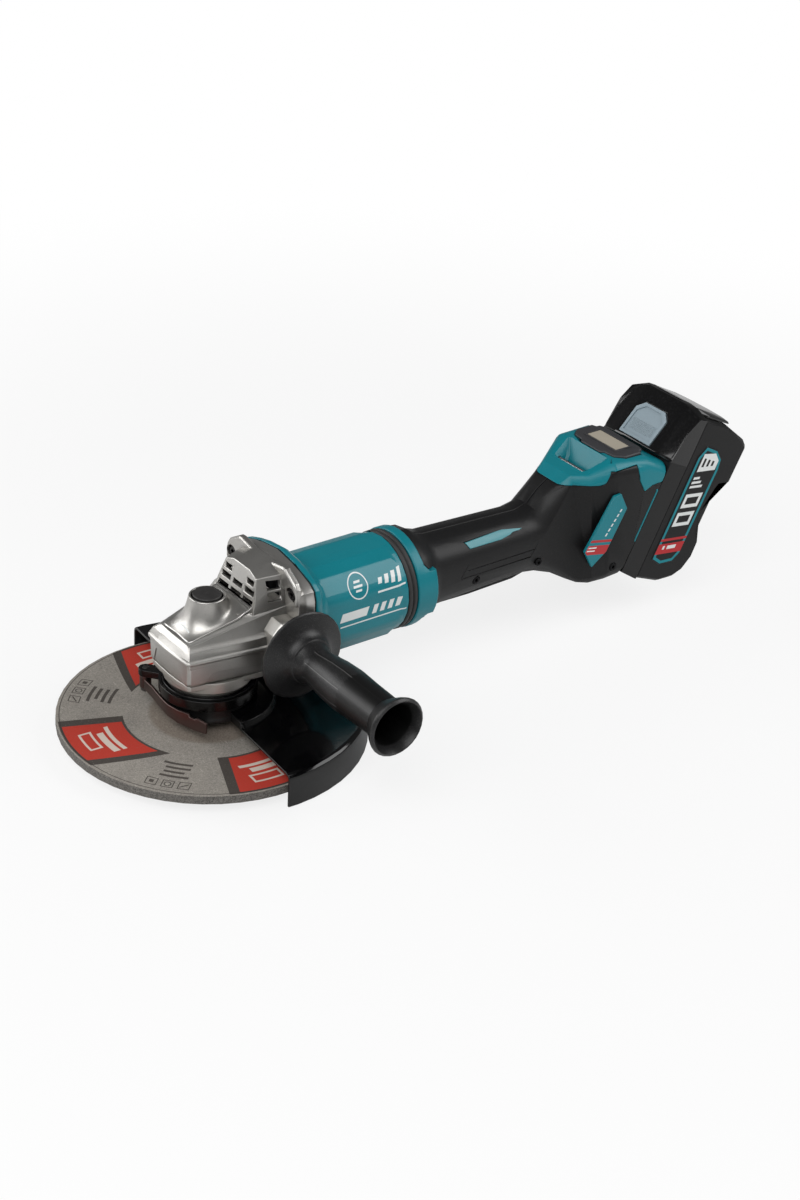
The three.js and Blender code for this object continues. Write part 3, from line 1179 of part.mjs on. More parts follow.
// ---------------------------------------------------------------- paddle switch
function paddleGeometry() {
  const { front, low, halfWidth, wall, pivotX, pivotZ } = PADDLE;
  const body = acrossY([
    [front, low + 5], [front + 4, low + 0.6], [front + 30, low], [pivotX - 12, low + 1.4],
    [pivotX + 3, low + 5], [pivotX + 5, pivotZ], [pivotX, pivotZ + 5], [pivotX - 8, pivotZ + 4],
    [front + 2, pivotZ + 2],
  ], -halfWidth, halfWidth);
  const room = acrossY([
    [front + wall, low + 6], [front + 6, low + wall + 0.4], [pivotX - 12, low + wall + 1.4],
    [pivotX - 8, low + 8], [pivotX - 8, 90], [front + wall, 90],
  ], wall - halfWidth, halfWidth - wall);
  const window = box(236, 253, -4.6, 4.6, 30, 60);
  const bore = rod(2.3, -20, 20, 10).rotateX(Math.PI / 2).translate(pivotX, 0, pivotZ);
  return cut(body, room, window, bore);
}
piece('paddle', paddleGeometry(), BLACK);

piece('paddle_pin', rod(2, -PADDLE.halfWidth, PADDLE.halfWidth, 12).rotateX(Math.PI / 2)
  .translate(PADDLE.pivotX, 0, PADDLE.pivotZ), STEEL);

const LOCK_OFF = { x: 245, z: 49.5 };
piece('lock_off_lever', acrossY([
  [LOCK_OFF.x - 6, 48], [LOCK_OFF.x - 3, 52], [LOCK_OFF.x + 3, 52], [LOCK_OFF.x + 4, 47],
  [LOCK_OFF.x + 1, 39.4], [LOCK_OFF.x - 3, 39.8],
], -4, 4), GREY);

piece('paddle_spring', coil(3.4, 0.5, PADDLE.low + PADDLE.wall + 1, 66.6, 4).translate(228, 0, 0), STEEL);

// ---------------------------------------------------------------- side handle
function sideHandle() {
  const { padOuter, flangeY, flangeRadius, waist, belly, flare, endY, cupRadius, cupDepth } = HANDLE;
  const collarFrom = padOuter + GAP;
  const grip = turned([
    [0, collarFrom], [15, collarFrom], [15, flangeY], [flangeRadius - 0.8, flangeY + 1.6],
    [flangeRadius, flangeY + 3], [flangeRadius - 1.2, flangeY + 4.2], [flangeRadius - 6, flangeY + 5.6],
    [flangeRadius - 11, flangeY + 7.4], [21.4, flangeY + 9.4], [19.2, flangeY + 12], [18.4, flangeY + 15],
    [17, flangeY + 15.6], [waist + 0.6, flangeY + 21], [waist, flangeY + 27], [belly - 0.8, flangeY + 46],
    [belly, flangeY + 62], [belly - 0.8, flangeY + 80], [waist + 2, flangeY + 107], [flare - 1.4, endY - 6],
    [flare, endY - 2.4], [flare - 2.4, endY], [cupRadius, endY - 9], [cupRadius - 6, endY - cupDepth],
    [0, endY - cupDepth],
  ], ROUND);
  const socket = rod(HANDLE.boltRadius + GAP, collarFrom - 1, collarFrom + 20, SMALL_ROUND);
  return alongHandle(cut(grip, socket));
}
piece('side_handle', sideHandle(), BLACK);

piece('side_handle_stud', alongHandle(rod(HANDLE.boltRadius, HANDLE.padOuter - HANDLE.boltIn,
  HANDLE.padOuter + 19, SMALL_ROUND)), STEEL);

// ---------------------------------------------------------------- battery
const battery = new THREE.Group();
battery.position.set(BATTERY_SEAT.x, 0, BATTERY_SEAT.z);
battery.rotation.y = TILT;
model.add(battery);

// Side view in the battery frame, [out, along]; the rings across Y round its edges.
const CASE_SIDE = [
  [GAP / 2, 0], [27.4, 1.6], [46, 8.6], [53, 15.5], [57.6, 28], [57.2, 41], [BATTERY.waist, 47.6],
  [BATTERY.waist, BATTERY.length - 46.6], [62, BATTERY.length - 42.6], [62.6, BATTERY.length - 11.4],
  [57, BATTERY.length - 7.4], [27, BATTERY.length], [GAP / 2, BATTERY.length],
];

function acrossBattery(points, halves) {
  const ringAt = (y, inset, middle) => points.map(([x, z]) => {
    const dx = middle[0] - x;
    const dz = middle[1] - z;
    return new THREE.Vector3(x + Math.sign(dx) * Math.min(Math.abs(dx), inset) * (x < 1 ? 0 : 1), y,
      z + Math.sign(dz) * Math.min(Math.abs(dz), inset * 0.8));
  });
  return loft(halves.map(([y, inset]) => ringAt(y, inset, [28, 72])));
}

// Raised label panel on each side, in the battery frame.
const LABEL = {
  rise: 0.7,
  corners: [
    [12.5, 125.2], [27.1, 124.5], [36.6, 118], [38.6, 108], [38, 31], [33, 22], [19.1, 16.6], [7.2, 19.3],
    [6.9, 114],
  ],
};

function labelPanel(side) {
  const half = BATTERY.halfWidth;
  const ringAt = (y, grow) => grown(LABEL.corners, grow).map(([x, z]) => new THREE.Vector3(x, side * y, z));
  return loft([ringAt(half - 1, 0), ringAt(half, 0), ringAt(half + LABEL.rise, -LABEL.rise)]);
}

const CASE_ROOM = BATTERY.waist - BATTERY.wall - 0.2; // depth of the room for the cells

function batteryCase() {
  const half = BATTERY.halfWidth;
  const shell = acrossBattery(CASE_SIDE, [[-half, 3.4], [3.4 - half, 0.6], [6.5 - half, 0], [half - 6.5, 0],
    [half - 3.4, 0.6], [half, 3.4]]);
  const room = box(-2, CASE_ROOM, BATTERY.wall - half, half - BATTERY.wall, 8, BATTERY.length - 10);
  return cut(join(shell, labelPanel(1), labelPanel(-1)), room);
}
piece('battery_case', batteryCase(), BLACK, battery);

// Front cover: the rail block below and the glossy hood above it.
const HOOD = {
  top: BATTERY.length + 5.2, faceHigh: BATTERY.length + 3.6, faceLow: BATTERY.length - 40.4,
  roofFrom: BATTERY.length - 6.4, lean: 15, faceOut: -28,
};
const COVER_SIDE = [
  [-GAP / 2, 0], [-GAP / 2, BATTERY.length + 1.6], [-5, HOOD.top],
  [HOOD.faceOut + HOOD.lean + 1, HOOD.top - 1.5], [HOOD.faceOut, HOOD.faceLow],
  [HOOD.faceOut, HOOD.faceLow - 3], [BATTERY.front, HOOD.faceLow - 4], [BATTERY.front, 3],
];
// Rings across the cover on one side: distance from the middle, set-back of the hood's face at its
// top and at its foot, and drop of the roof.
const COVER_ROWS = [[22, 0, 0, 0], [30, 0.6, 3, 2.4], [40.4, -3, 7, 17], [BATTERY.halfWidth, -4.5, 8, 20]];

function batteryCover() {
  const { length, front, halfWidth } = BATTERY;
  const ledge = HOOD.faceLow - 3.5; // the hood's parts lie above it
  const row = (y, high, low, drop) => COVER_SIDE.map(([x, z]) => {
    const back = z > HOOD.roofFrom ? high : low;
    const moved = x < -1 && z > ledge ? Math.min(x + back, -1.4) : x;
    const share = THREE.MathUtils.clamp(-x / 12, 0.15, 1); // the roof keeps its height at the seam
    return new THREE.Vector3(moved, y, z > HOOD.roofFrom ? z - drop * share : z);
  });
  const near = COVER_ROWS.slice().reverse().map(([y, ...rest]) => row(-y, ...rest));
  const shell = loft([...near, ...COVER_ROWS.map((place) => row(...place))]);
  const groove = [1, -1].map((side) => {
    const gap = 0.4;
    const reach = TOOL_FACE + RAIL.reach + gap;
    const inner = RAIL.y - gap;
    const outer = RAIL.y + RAIL.width + gap;
    const neck = box(front - 2, reach, inner, outer, -5, RAIL.to + 4);
    const lip = box(reach - RAIL.head - 2 * gap, reach, inner, outer + RAIL.lip, -5, RAIL.to + 4);
    const both = join(neck, lip);
    return side > 0 ? both : mirrored(both);
  });
  const channel = box(front - 2, TOOL_FACE + 10, -21.6, 21.6, -5, 84);
  const pocket = buttonPlace(buttonShape(GAP, -20, 12));
  const roofRow = (y, out, drop) => [
    [out - 4, length + 0.8], [Math.max(out - 4, -0.8), length + 0.4], [31, length + 0.4],
    [33, length + 0.9], [31, HOOD.top - 1.4 - drop / 2], [out, HOOD.top - 0.3 - drop],
  ].map(([x, z]) => new THREE.Vector3(x, y, z));
  const roof = loft([roofRow(-halfWidth + 5, 6, 3), roofRow(-28, -6, 0.6), roofRow(-12, -9, -0.2),
    roofRow(12, -9, -0.2), roofRow(28, -6, 0.6), roofRow(halfWidth - 5, 6, 3)]);
  return cut(join(shell, roof), ...groove, channel, pocket);
}

// Release button: a dished plate with cut corners let into the hood's leaning face.
const BUTTON = {
  half: 18.4, low: -15.6, high: 15.4, corner: 6.6, proud: 0.9, frame: 2.6, dish: 0.8, thickness: 6,
};

function buttonShape(grow, front, back) {
  const { half, low, high, corner } = BUTTON;
  const shape = outline([
    [-half - grow, low - grow], [half + grow, low - grow], [half + grow, high - corner + grow],
    [half - corner + grow, high + grow], [corner - half - grow, high + grow],
    [-half - grow, high - corner + grow],
  ]);
  // shape's X runs across the battery, its Y up the leaning face
  return slab(shape, back - front).translate(0, 0, front).rotateX(Math.PI / 2).rotateZ(Math.PI / 2);
}

const FACE_LEAN = Math.atan2(HOOD.lean, HOOD.faceHigh - HOOD.faceLow);

function buttonPlace(geometry) {
  return geometry.rotateY(FACE_LEAN).translate(HOOD.faceOut + 5.6, 0, HOOD.faceLow + 15.5);
}

piece('battery_cover', batteryCover(), GLOSS_BLACK, battery);

function releaseButton() {
  const { proud, frame, dish, thickness } = BUTTON;
  return buttonPlace(cut(buttonShape(0, -proud, thickness), buttonShape(-frame, -proud - 1, dish - proud)));
}
piece('release_button', releaseButton(), BUTTON_BLUE, battery);

// Ten cells in two rows, lying across the case.
const CELL_PITCH = (CASE_ROOM - 4) / 2;
const CELL = { radius: CELL_PITCH / 2 - GAP, half: 35, first: 3.8 + CELL_PITCH / 2, low: 21, facets: 8 };
function cellPack() {
  const cells = [0, 1].flatMap((row) => Array.from({ length: 5 }, (_, i) => (
    rod(CELL.radius, -CELL.half, CELL.half, CELL.facets).rotateX(Math.PI / 2)
      .translate(CELL.first + row * CELL_PITCH, 0, CELL.low + i * CELL_PITCH))));
  const top = CELL.low + 4.5 * CELL_PITCH;
  const holders = [-1, 1].map((side) => {
    const middle = side * CELL.half;
    return box(CELL.first - CELL_PITCH / 2, CASE_ROOM - 0.4, middle - 1, middle + 1, CELL.low - 10.6, top);
  });
  return join(...cells, ...holders);
}
piece('cell_pack', cellPack(), STEEL, battery);

export default model;
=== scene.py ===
"""Looks of a large cordless angle grinder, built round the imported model.

Metres. The origin is the centre of the spindle's end face, +Z is up along the spindle,
+X runs towards the battery and the side handle points along -Y. Sizes in the classes of
the sub-assemblies and in the prints are in millimetres.
"""

from __future__ import annotations

import json
import logging
import math
from dataclasses import dataclass, field
from enum import Enum
from typing import Callable, Iterable, NamedTuple, Sequence

import bmesh
import bpy
from mathutils import Matrix, Vector

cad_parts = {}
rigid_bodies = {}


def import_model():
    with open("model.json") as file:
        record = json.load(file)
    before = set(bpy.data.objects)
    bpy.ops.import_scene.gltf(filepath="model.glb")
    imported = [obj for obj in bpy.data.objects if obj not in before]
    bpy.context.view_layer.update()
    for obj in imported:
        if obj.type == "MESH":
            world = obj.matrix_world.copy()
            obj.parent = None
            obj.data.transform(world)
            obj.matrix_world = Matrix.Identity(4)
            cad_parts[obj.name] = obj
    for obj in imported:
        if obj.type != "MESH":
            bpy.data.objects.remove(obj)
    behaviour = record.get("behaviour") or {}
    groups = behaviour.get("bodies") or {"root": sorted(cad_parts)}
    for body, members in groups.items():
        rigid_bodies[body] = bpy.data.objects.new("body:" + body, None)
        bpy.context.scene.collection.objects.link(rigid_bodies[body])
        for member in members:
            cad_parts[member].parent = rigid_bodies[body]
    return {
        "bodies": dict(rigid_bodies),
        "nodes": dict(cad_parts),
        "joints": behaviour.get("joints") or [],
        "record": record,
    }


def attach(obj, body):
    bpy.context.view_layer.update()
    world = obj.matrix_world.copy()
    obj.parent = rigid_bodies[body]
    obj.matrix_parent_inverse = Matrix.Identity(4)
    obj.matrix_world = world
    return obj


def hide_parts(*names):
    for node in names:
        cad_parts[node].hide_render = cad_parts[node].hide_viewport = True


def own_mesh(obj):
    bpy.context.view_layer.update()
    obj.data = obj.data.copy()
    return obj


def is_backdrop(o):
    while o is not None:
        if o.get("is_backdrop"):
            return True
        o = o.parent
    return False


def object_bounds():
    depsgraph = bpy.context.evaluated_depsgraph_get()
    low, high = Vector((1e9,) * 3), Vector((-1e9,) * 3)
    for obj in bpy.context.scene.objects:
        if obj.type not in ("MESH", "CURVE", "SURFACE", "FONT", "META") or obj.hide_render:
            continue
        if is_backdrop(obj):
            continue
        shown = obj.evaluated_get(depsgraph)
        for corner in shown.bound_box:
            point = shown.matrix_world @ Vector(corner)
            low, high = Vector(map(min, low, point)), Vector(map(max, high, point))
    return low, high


LOG = logging.getLogger("grinder")
MM = 0.001
TURN = 360.0
DEGREES = 180 / math.pi  # degrees in a radian

Point = tuple[float, float, float]
Pair = tuple[float, float]
Mover = Callable[[Vector], Vector]
Socket = bpy.types.NodeSocket


# ---------------------------------------------------------------- shader maths
class Maths(Enum):
    """Operations of a Math node that the finishes use."""

    ADD = "ADD"
    SUBTRACT = "SUBTRACT"
    MULTIPLY = "MULTIPLY"
    MULTIPLY_ADD = "MULTIPLY_ADD"
    DIVIDE = "DIVIDE"
    POWER = "POWER"
    GREATER = "GREATER_THAN"
    LESS = "LESS_THAN"
    SIZE = "ABSOLUTE"
    LEAST = "MINIMUM"
    MOST = "MAXIMUM"
    BEARING = "ARCTAN2"
    PART = "FRACT"


class Wire:
    """A number that comes out of a node, with the operators that the finishes use."""

    def __init__(self, nodes: "Nodes", socket: Socket) -> None:
        """Keeps the tree that the node is in and the socket."""
        self.nodes = nodes
        self.socket = socket

    def maths(self, operation: Maths, *values: "Wire | float") -> "Wire":
        """Adds one Math node and returns its result."""
        inputs = dict(enumerate(values))
        return self.nodes.number("ShaderNodeMath", 0, {"operation": operation.value}, inputs)

    def __add__(self, other: "Wire | float") -> "Wire":
        """Sum."""
        return self.maths(Maths.ADD, self, other)

    def __radd__(self, other: float) -> "Wire":
        """Sum, number first."""
        return self.maths(Maths.ADD, other, self)

    def __sub__(self, other: "Wire | float") -> "Wire":
        """Difference."""
        return self.maths(Maths.SUBTRACT, self, other)

    def __rsub__(self, other: float) -> "Wire":
        """Difference, number first."""
        return self.maths(Maths.SUBTRACT, other, self)

    def __mul__(self, other: "Wire | float") -> "Wire":
        """Product."""
        return self.maths(Maths.MULTIPLY, self, other)

    def __rmul__(self, other: float) -> "Wire":
        """Product, number first."""
        return self.maths(Maths.MULTIPLY, other, self)

    def __truediv__(self, other: "Wire | float") -> "Wire":
        """Quotient."""
        return self.maths(Maths.DIVIDE, self, other)

    def __rtruediv__(self, other: float) -> "Wire":
        """Quotient, number first."""
        return self.maths(Maths.DIVIDE, other, self)

    def __lt__(self, other: "Wire | float") -> "Wire":
        """1 where this is the lesser."""
        return self.maths(Maths.LESS, self, other)

    def __gt__(self, other: "Wire | float") -> "Wire":
        """1 where this is the greater, which is also < with the number first."""
        return self.maths(Maths.GREATER, self, other)

    def __abs__(self) -> "Wire":
        """Size without sign."""
        return self.maths(Maths.SIZE, self)

    def __pow__(self, other: float) -> "Wire":
        """Power."""
        return self.maths(Maths.POWER, self, other)

    def __rpow__(self, other: float) -> "Wire":
        """Power, number first."""
        return self.maths(Maths.POWER, other, self)

    def least(self, other: "Wire | float") -> "Wire":
        """The smaller of two."""
        return self.maths(Maths.LEAST, self, other)

    def most(self, other: "Wire | float") -> "Wire":
        """The larger of two."""
        return self.maths(Maths.MOST, self, other)

    def within(self, half: "Wire | float") -> "Wire":
        """How far inside a band of that half width, counted from 0."""
        return half - abs(self)

    def bearing(self, across: "Wire") -> "Wire":
        """Angle in radians of the direction whose cosine part is across and sine part is this."""
        return self.maths(Maths.BEARING, self, across)

    def part(self) -> "Wire":
        """What is left after the whole number."""
        return self.maths(Maths.PART, self)

    def beside(self, factor: float, other: "Wire | float") -> "Wire":
        """This times a factor, plus another number, in one node."""
        return self.maths(Maths.MULTIPLY_ADD, self, factor, other)

    def ramp(self, low: float, high: float) -> "Wire":
        """Goes smoothly from 0 at low to 1 at high.

        Args:
            low: where the result is 0.
            high: where the result is 1.

        Returns:
            The smooth step.
        """
        settings = {"interpolation_type": "SMOOTHSTEP"}
        inputs = {"Value": self, "From Min": low, "From Max": high}
        return self.nodes.number("ShaderNodeMapRange", 0, settings, inputs)


class Nodes:
    """A node tree, with one way to add a node."""

    def __init__(self, tree: bpy.types.NodeTree) -> None:
        """Takes over a tree and empties it."""
        self.tree = tree
        self.tree.nodes.clear()

    def node(self, kind: str, settings: dict | None = None, inputs: dict | None = None) -> bpy.types.Node:
        """Adds a node.

        Args:
            kind: the node's type.
            settings: its own options, set first.
            inputs: a value or a link for each named or numbered socket.

        Returns:
            The new node.
        """
        node = self.tree.nodes.new(kind)
        for key, value in (settings or {}).items():
            setattr(node, key, value)
        for key, value in (inputs or {}).items():
            socket = node.inputs[key]
            if isinstance(value, Wire):
                self.tree.links.new(value.socket, socket)
            elif isinstance(value, Socket):
                self.tree.links.new(value, socket)
            else:
                socket.default_value = value
        return node

    def number(self, kind: str, output: int | str, settings: dict | None = None,
               inputs: dict | None = None) -> Wire:
        """Adds a node and returns one of its outputs as a number."""
        return Wire(self, self.node(kind, settings, inputs).outputs[output])


class Layer(NamedTuple):
    """A colour laid over another, and how much of it covers."""

    colour: str
    cover: float


class Plan(Nodes):
    """The node tree of one material."""

    def __init__(self, name: str) -> None:
        """Starts the material with an empty tree.

        Args:
            name: the material's name.
        """
        self.material = bpy.data.materials.new(name)
        self.material.use_nodes = True
        super().__init__(self.material.node_tree)

    def place(self) -> Socket:
        """Returns the piece's own coordinates, in metres."""
        return self.node("ShaderNodeTexCoord").outputs["Object"]

    def axes(self, place: Socket) -> tuple[Wire, Wire, Wire]:
        """Splits a vector into three numbers."""
        node = self.node("ShaderNodeSeparateXYZ", None, {0: place})
        return Wire(self, node.outputs[0]), Wire(self, node.outputs[1]), Wire(self, node.outputs[2])

    def facing(self) -> tuple[Wire, Wire, Wire]:
        """Returns the surface's normal in the piece's own axes, as three numbers."""
        return self.axes(self.node("ShaderNodeTexCoord").outputs["Normal"])

    def from_axis(self, place: Socket) -> Wire:
        """Measures the distance from the spindle's axis, in metres."""
        x, y, _ = self.axes(place)
        return (x * x + y * y) ** 0.5

    def vector(self, x: Wire | float, y: Wire | float, z: Wire | float) -> Socket:
        """Joins three numbers into a vector."""
        return self.node("ShaderNodeCombineXYZ", None, {0: x, 1: y, 2: z}).outputs[0]

    def stretched(self, place: Socket, scale: Point) -> Socket:
        """Scales a vector by a different amount along each axis."""
        return self.node("ShaderNodeVectorMath", {"operation": "MULTIPLY"}, {0: place, 1: scale}).outputs[0]

    def noise(self, place: Socket, size: float, detail: float = 2.0) -> Wire:
        """Makes soft noise round 0.5, with blots of that size, in metres, and that many finer layers."""
        inputs = {"Vector": place, "Scale": 1 / size, "Detail": detail}
        return self.number("ShaderNodeTexNoise", "Fac", None, inputs)

    def grains(self, place: Socket, size: float) -> Wire:
        """Gives each grain of that width, in metres, a shade of its own from 0 to 1."""
        node = self.node("ShaderNodeTexVoronoi", {"feature": "F1"}, {"Vector": place, "Scale": 1 / size})
        return self.axes(node.outputs["Color"])[0]

    def mix(self, mask: Wire | float, first: object, second: object) -> Socket:
        """Mixes two linear colours or links; the mask says how much of the second shows."""
        settings = {"data_type": "RGBA", "blend_type": "MIX", "clamp_factor": True}
        return self.node("ShaderNodeMix", settings, {0: mask, 6: first, 7: second}).outputs[2]

    def shaded(self, mask: Wire, colour: str, shades: Pair) -> Socket:
        """Varies one colour between two shades of it."""
        return self.mix(mask, ink(colour, shades[0]), ink(colour, shades[1]))

    def laid(self, tone: Socket, mask: Wire | float, layer: Layer) -> Socket:
        """Lays a colour over another where the mask is 1."""
        return self.mix(mask * layer.cover, tone, ink(layer.colour))

    def edge(self, span: Pair) -> Wire:
        """Returns 1 on outer edges and 0 on flat ground, for a span of the surface's pointedness."""
        return self.number("ShaderNodeNewGeometry", "Pointiness").ramp(*span)

    def open(self, reach: float) -> Wire:
        """Returns 1 in the open and less in corners closer than reach, in metres."""
        settings = {"samples": 4, "only_local": False}
        return self.number("ShaderNodeAmbientOcclusion", "AO", settings, {"Distance": reach})

    def corner(self, reach: float) -> Wire:
        """Returns 0 in the open and more in corners closer than reach, in metres; the finishes paint shade
        with it.
        """
        return 1 - self.open(reach)

    def bump(self, height: Wire, depth: float, strength: float) -> Socket:
        """Turns a height of 0 to 1 into a normal; depth is in metres."""
        inputs = {"Strength": strength, "Distance": depth, "Height": height}
        return self.node("ShaderNodeBump", None, inputs).outputs[0]

    def shown(self, shader: bpy.types.Node) -> bpy.types.Material:
        """Puts a shader on the surface and returns the material."""
        self.node("ShaderNodeOutputMaterial", None, {"Surface": shader.outputs[0]})
        return self.material

    def close(self, **inputs: object) -> bpy.types.Material:
        """Adds the surface shader with these sockets and returns the material."""
        named = {key.replace("_", " "): value for key, value in inputs.items()}
        return self.shown(self.node("ShaderNodeBsdfPrincipled", None, named))


# ---------------------------------------------------------------- prints
class Bar(NamedTuple):
    """A leaning bar: its middle, its length and height, and how far its upper side is moved along."""

    across: float
    up: float
    length: float
    height: float
    lean: float


class Step(NamedTuple):
    """A sloping bar with upright ends: its ends, its height at the left end, and how much it rises."""

    left: float
    right: float
    low: float
    high: float
    rise: float


class Chart:
    """A flat drawing laid over a piece: u and v are in millimetres along two directions."""

    def __init__(self, plan: Plan, u_axis: Point, v_axis: Point, origin: Point = (0.0, 0.0, 0.0)) -> None:
        """Lays the drawing.

        Args:
            plan: the material that it belongs to.
            u_axis: direction of u in the piece's axes, of length 1.
            v_axis: direction of v.
            origin: where u and v are 0, in millimetres.
        """
        self.plan = plan
        place = plan.place()
        self.u = self.along(place, u_axis, origin)
        self.v = self.along(place, v_axis, origin)
        self.spot = plan.vector(self.u, self.v, 0.0)

    @classmethod
    def on_side(cls, plan: Plan, turn: float, origin: Point) -> "Chart":
        """Lays a drawing on both sides of the tool, with v leaning towards the battery by turn degrees."""
        cosine, sine = math.cos(math.radians(turn)), math.sin(math.radians(turn))
        return cls(plan, (cosine, 0.0, -sine), (sine, 0.0, cosine), origin)

    def along(self, place: Socket, axis: Point, origin: Point) -> Wire:
        """Measures along one direction.

        Args:
            place: the piece's coordinates.
            axis: the direction, of length 1.
            origin: where the result is 0, in millimetres.

        Returns:
            The distance, in millimetres.
        """
        inputs = {0: place, 1: tuple(part / MM for part in axis)}
        whole = self.plan.number("ShaderNodeVectorMath", "Value", {"operation": "DOT_PRODUCT"}, inputs)
        return whole - sum(a * b for a, b in zip(axis, origin))

    def field(self, corners: Sequence[Pair]) -> Wire:
        """Measures how far inside a convex outline each place is.

        Args:
            corners: the outline in order, either way round.

        Returns:
            Millimetres to the nearest side, negative outside.
        """
        pairs = list(zip(corners, list(corners[1:]) + [corners[0]]))
        turn = math.copysign(1.0, sum(a[0] * b[1] - b[0] * a[1] for a, b in pairs))
        inside: Wire | None = None
        for (au, av), (bu, bv) in pairs:
            length = math.hypot(bu - au, bv - av) * turn
            across_u, across_v = (av - bv) / length, (bu - au) / length
            shift = -(au * across_u + av * across_v)
            reach = self.v.beside(across_v, self.u.beside(across_u, shift))
            inside = reach if inside is None else inside.least(reach)
        return inside

    def distance(self, centre: Pair) -> Wire:
        """Measures the distance from a point of the drawing."""
        inputs = {0: self.spot, 1: (centre[0], centre[1], 0.0)}
        return self.plan.number("ShaderNodeVectorMath", "Value", {"operation": "DISTANCE"}, inputs)

    def ring(self, centre: Pair, radius: float, width: float) -> Wire:
        """Measures how far inside a ring's line each place is."""
        return (self.distance(centre) - radius).within(width / 2)

    def bar(self, bar: Bar) -> Wire:
        """Measures how far inside a leaning bar each place is.

        Args:
            bar: the bar.

        Returns:
            Millimetres to the nearest side, negative outside.
        """
        half, tall, moved = bar.length / 2, bar.height / 2, bar.lean / 2
        return self.field([
            (bar.across - half - moved, bar.up - tall),
            (bar.across + half - moved, bar.up - tall),
            (bar.across + half + moved, bar.up + tall),
            (bar.across - half + moved, bar.up + tall),
        ])

    def step(self, step: Step) -> Wire:
        """Measures how far inside a sloping bar each place is."""
        left, right, low, high, rise = step
        return self.field([(left, low), (right, low + rise), (right, high + rise), (left, high)])

    def stroke(self, start: Pair, end: Pair, width: float) -> Wire:
        """Measures how far inside a straight stroke each place is.

        Args:
            start: one end of its middle line.
            end: the other end.
            width: its width.

        Returns:
            Millimetres to the nearest side, negative outside.
        """
        along_u, along_v = end[0] - start[0], end[1] - start[1]
        length = math.hypot(along_u, along_v)
        off_u, off_v = -along_v / length * width / 2, along_u / length * width / 2
        return self.field([
            (start[0] + off_u, start[1] + off_v),
            (end[0] + off_u, end[1] + off_v),
            (end[0] - off_u, end[1] - off_v),
            (start[0] - off_u, start[1] - off_v),
        ])


class Block(NamedTuple):
    """A block printed on the disc: its radius and half its height, its place across and half its width."""

    out: float
    tall: float
    across: float
    wide: float
    skew: float = 0.0


class Sector:
    """One of the equal parts of a drawing that repeats round the spindle's axis, in millimetres."""

    def __init__(self, radius: Wire, turns: Wire, count: int) -> None:
        """Measures across the part from its middle; each of the parts takes 1 of the turns."""
        self.radius = radius
        self.across = (turns.part() - 0.5) * (2 * math.pi / count) * radius

    def block(self, block: Block) -> Wire:
        """Measures how far inside a block each place is.

        Args:
            block: the block.

        Returns:
            Millimetres to the nearest side, negative outside.
        """
        out = self.radius - block.out
        across = self.across + out * block.skew - block.across
        return out.within(block.tall).least(across.within(block.wide))

    def outline(self, block: Block, line: float) -> Wire:
        """Measures how far inside a block's outline, of that width, each place is."""
        return (self.block(block) - line / 2).within(line / 2)

    def ring(self, out: float, radius: float, line: float) -> Wire:
        """Measures how far inside a small ring's line each place is."""
        up = self.radius - out
        return ((self.across * self.across + up * up) ** 0.5 - radius).within(line / 2)

    def slash(self, block: Block) -> Wire:
        """Measures how far inside a leaning stroke each place is.

        Args:
            block: the stroke, whose skew is its slope.

        Returns:
            Millimetres to the nearest side, negative outside.
        """
        across = self.across - block.across
        up = self.radius - block.out + across * block.skew
        return up.within(block.tall).least(across.within(block.wide))


def joined(shapes: Iterable[Wire]) -> Wire:
    """Joins shapes into one.

    Args:
        shapes: each shape, as a distance to its nearest side.

    Returns:
        The whole, in the same way.
    """
    whole: Wire | None = None
    for shape in shapes:
        whole = shape if whole is None else whole.most(shape)
    return whole


def printed(shape: Wire, soft: float = 0.09) -> Wire:
    """Turns a distance inside a shape into a mask with an even, narrow edge."""
    return shape.ramp(-soft, soft)


def ink(code: str, scale: float = 1.0) -> tuple[float, float, float, float]:
    """Turns a written colour into the linear one that shaders use.

    Args:
        code: six hexadecimal digits.
        scale: makes it lighter or darker.

    Returns:
        Red, green, blue and 1.
    """
    parts = [int(code[i:i + 2], 16) / 255 for i in (0, 2, 4)]
    linear = [v / 12.92 if v <= 0.04045 else ((v + 0.055) / 1.055) ** 2.4 for v in parts]
    return (linear[0] * scale, linear[1] * scale, linear[2] * scale, 1.0)




# ---------------------------------------------------------------- finishes
WHITE_INK = ink("DDE0DF")
RED_INK = ink("B3262B")
TEAL_INK = ink("0B7F8B")
PANEL_INK = ink("0C0C0D")
BARE_INK = ink("161617")
TEAL_COLOUR = "017682"
TEAL_EDGES = "4DB4BC"
BATTERY_SEAT = (396.5, 0.0, 26.0)  # the foot of the tool's rear face, in millimetres
BATTERY_TILT = 25.4  # how far that face leans back, in degrees


@dataclass(frozen=True)
class Finish:
    """What a surface is made of. Each kind of finish makes its own material once."""

    name: str

    def plan(self) -> bpy.types.Material:
        """Makes the material."""
        raise NotImplementedError

    def made(self) -> bpy.types.Material:
        """Returns the material, made at its first use."""
        return bpy.data.materials.get(self.name) or self.plan()


